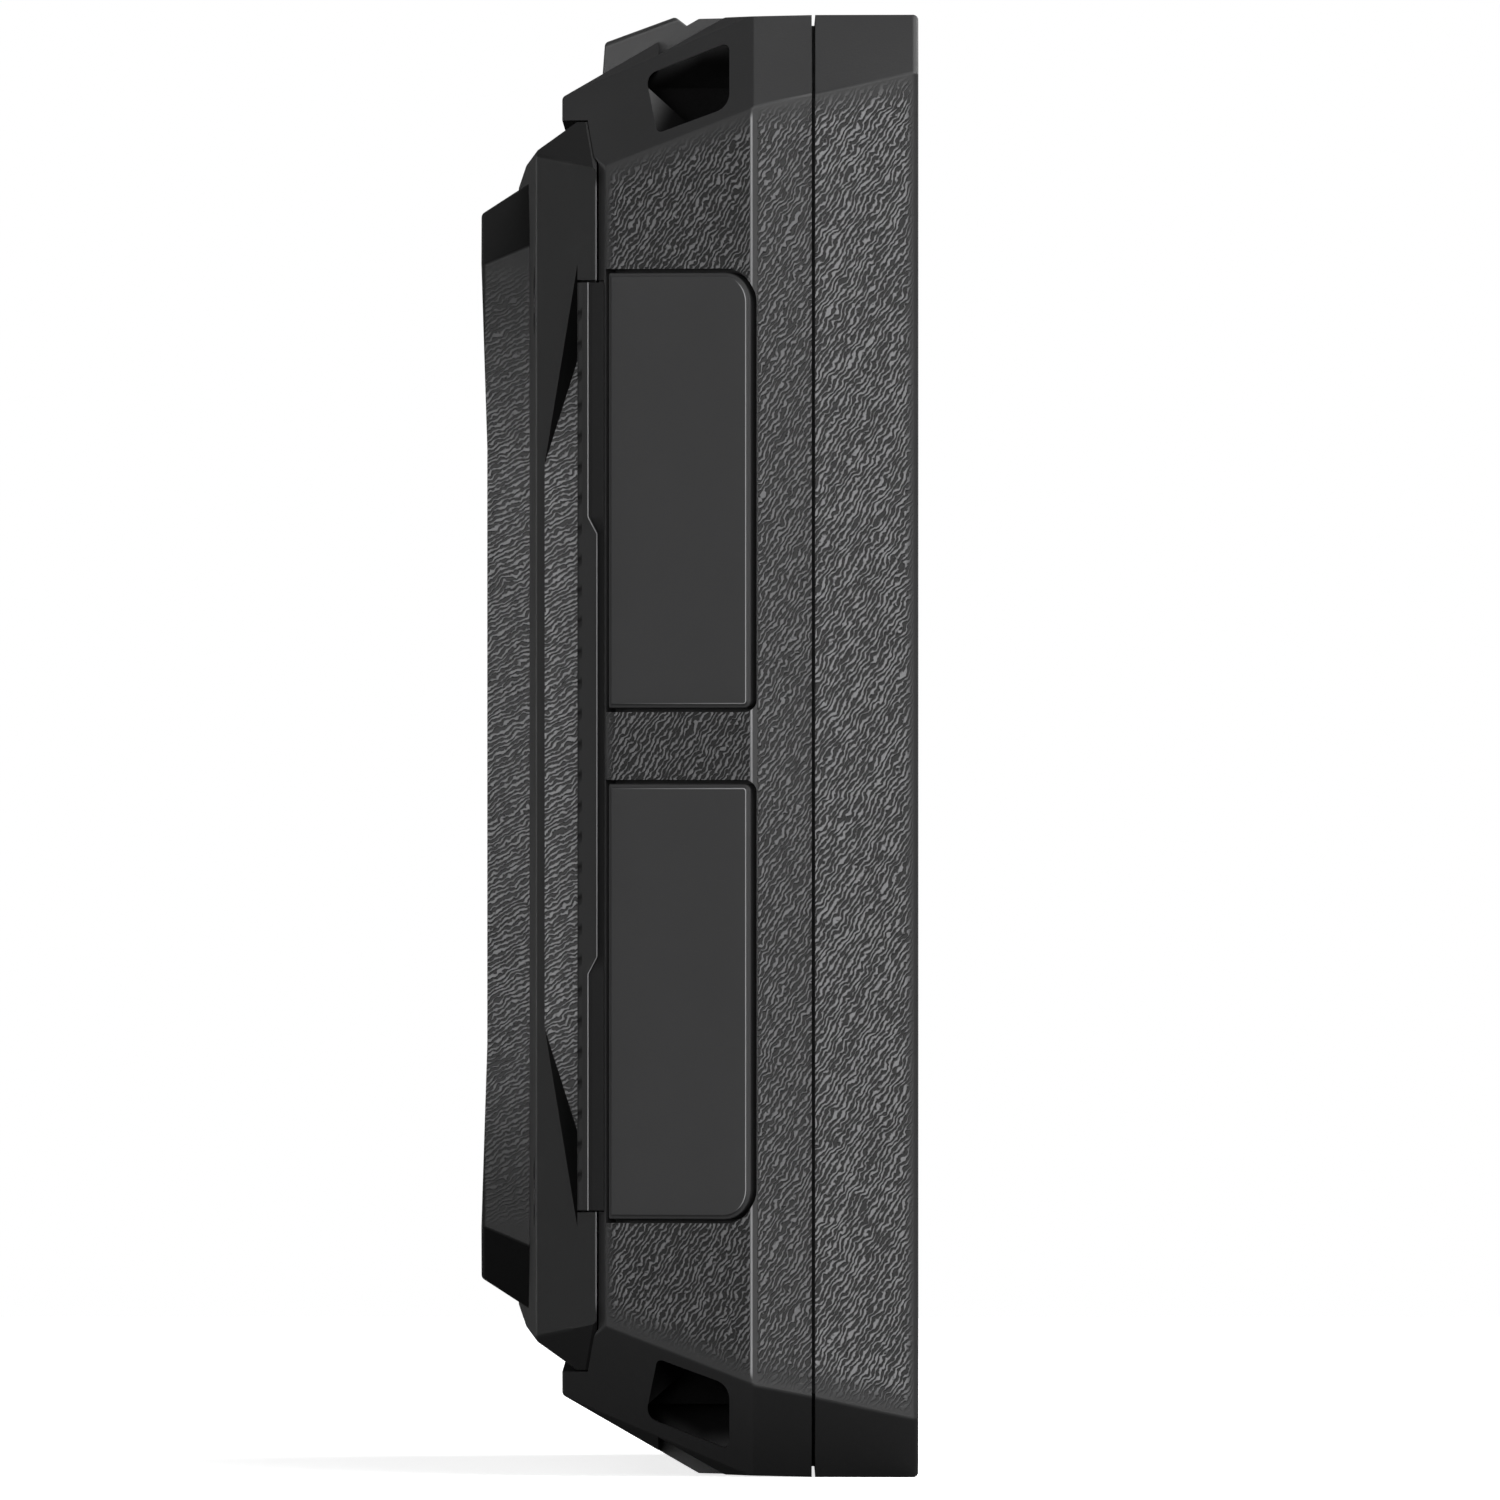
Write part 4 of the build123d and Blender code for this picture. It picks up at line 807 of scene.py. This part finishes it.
# %% Carry the section along the height
spine_low, spine_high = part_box("port_spine")
ridge_half, ridge_run = 14.3 * mm, 1.1 * mm
nick_pitch, nick_length, nick_depth, nick_slant = 2.0 * mm, 0.65 * mm, 0.22 * mm, 1.2
nick_start, nick_fade, nick_reach, nick_margin = 21.85 * mm, 0.06 * mm, 7 * mm, 1.5 * mm
ridge_at_ends, ridge_at_middle = 21.38, 20.80
# The section points that carry the painted highlight along the ridge.
ridge_highlight_points = slice(14, 16)
side_x = -half_width


def spine_section(ridge_depth):
    """The bar's section as (inwards from the end wall, depth): lip, ridge, groove, rear corner."""
    corners = np.array([(5.66, 20.42), (6.36, ridge_depth - 0.03), (6.12, ridge_depth + 0.06),
                        (6.24, 21.83), (6.28, 22.15), (9.4, 22.15), (9.4, 20.77), (7.4, 20.77),
                        (7.4, 20.42)]) * mm
    radii = np.array([0.10, 0.06, 0.10, 0.03, 0.12, 0.1, 0.05, 0.05, 0.1]) * mm
    return smooth_corners(corners, radii, 6)


def spine_mesh():
    """The bar: two sections mixed by a smooth gate along the height, nicked at the rear corner."""
    height = np.arange(spine_low.z, spine_high.z, 0.08 * mm)
    reach = (np.abs(height - middle) - ridge_half) / ridge_run
    gate = np.clip(0.5 - reach, 0, 1)[:, None, None]
    section = spine_section(ridge_at_ends) * (1 - gate) + spine_section(ridge_at_middle) * gate
    inwards, depth = section[..., 0], section[..., 1]
    along = (height[:, None] - middle + (depth - 22 * mm) * nick_slant) / nick_pitch
    pulse = np.clip(1.4 - np.abs(along - np.round(along)) * 2 * nick_pitch / nick_length * 1.4, 0, 1)
    rear = np.clip((depth - nick_start) / nick_fade, 0, 1) * (inwards < nick_reach)
    near_end = np.minimum(height - spine_low.z, spine_high.z - height) < nick_margin
    inwards = inwards + nick_depth * pulse * rear * ~near_end[:, None]
    grid = np.stack([side_x + inwards, front_y + depth, np.broadcast_to(height[:, None], depth.shape)],
                    axis=-1)
    # Painted highlight along the ridge's edge points.
    rim = np.zeros(depth.shape)
    rim[:, ridge_highlight_points] = 1.0
    return mark_painted_highlight(mesh_of("port_spine_rubber", skin(grid)), rim)


spine = show(spine_mesh(), "port_spine_rubber", spine_rubber, "case")
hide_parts("port_spine")
print("bar", round(1000 * (spine_high.z - spine_low.z), 1), "mm tall,", len(spine.data.polygons), "faces")

# %% [markdown]
# ## Threaded inserts and contacts
# Four brass inserts in the boss take the screws of a mount, and eight gold pads below them meet
# a powered mount's pins. A real thread is a groove that climbs one pitch in a turn, so the
# insert's bore is drawn with a radius that depends on both the height and the angle.

# %% Turn the inserts with a real thread
def turned(centre, radius, depth, steps=48):
    """Points turned round an axis along the depth, from arrays of radius and depth."""
    angle = np.linspace(0, 2 * pi, steps, endpoint=False)[:, None]
    return np.stack([centre[0] + radius * np.cos(angle), depth + 0 * angle,
                     centre[1] + radius * np.sin(angle)], axis=-1), angle


thread_pitch, thread_crest, thread_root = 0.7 * mm, 1.65 * mm, 2.0 * mm
insert_radius = 2.9 * mm
insert_low, insert_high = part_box("threaded_inserts")
insert_x = insert_high.x - insert_radius
insert_z = insert_high.z - insert_radius - middle
insert_places = [(sx * insert_x, middle + sz * insert_z) for sx in (-1, 1) for sz in (-1, 1)]
bore_rows = 70


def insert_skin(place):
    """A sleeve whose bore radius is a saw wave of (depth / pitch - angle / turn)."""
    outer = np.array([(insert_radius, insert_low.y), (insert_radius, insert_high.y - 0.1 * mm),
                      (insert_radius - 0.1 * mm, insert_high.y), (thread_root + 0.25 * mm, insert_high.y),
                      (thread_root, insert_high.y - 0.25 * mm)])
    bore = np.linspace(insert_high.y - 0.3 * mm, insert_low.y, bore_rows)
    radius = np.concatenate([outer[:, 0], np.zeros(bore_rows)])
    depth = np.concatenate([outer[:, 1], bore])
    grid, angle = turned(place, radius, depth)
    wave = np.abs((depth / thread_pitch - angle / (2 * pi)) % 1 * 2 - 1)
    thread = thread_crest + (thread_root - thread_crest) * np.clip(wave * 1.3 - 0.15, 0, 1)
    thread = np.where(np.arange(len(radius)) < len(outer), radius, thread)
    grid[..., 0] = place[0] + thread * np.cos(angle)
    grid[..., 2] = place[1] + thread * np.sin(angle)
    return skin(grid, ring=True)


inserts = show(mesh_of("insert_set", *[insert_skin(place) for place in insert_places]),
               "insert_set", brass, "case")
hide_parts("threaded_inserts")
print("inserts", len(inserts.data.polygons), "faces")

# %% Turn the contact pads
pad_low, pad_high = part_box("power_contacts")
pad_count, pad_radius = 8, 0.8 * mm
pad_z = (pad_low.z + pad_high.z) / 2
pad_radii = np.array([0.8, 0.8, 0.76, 0.68, 0.6, 0.52, 0.3, 0.1]) * mm
pad_rise = np.array([-4.0, -0.12, -0.04, 0.0, 0.0, -0.05, -0.1, -0.12]) * mm


def pad_skin(x):
    """A gold pad with a rounded rim and a shallow dished face."""
    grid, _ = turned((x, pad_z), pad_radii, pad_high.y + pad_rise, 24)
    return skin(grid.transpose(1, 0, 2))


pad_x = np.linspace(pad_low.x + pad_radius, pad_high.x - pad_radius, pad_count)
pads = show(mesh_of("contact_set", *[pad_skin(x) for x in pad_x]),
            "contact_set", gold, "case")
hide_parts("power_contacts")
print("pads", pad_count)
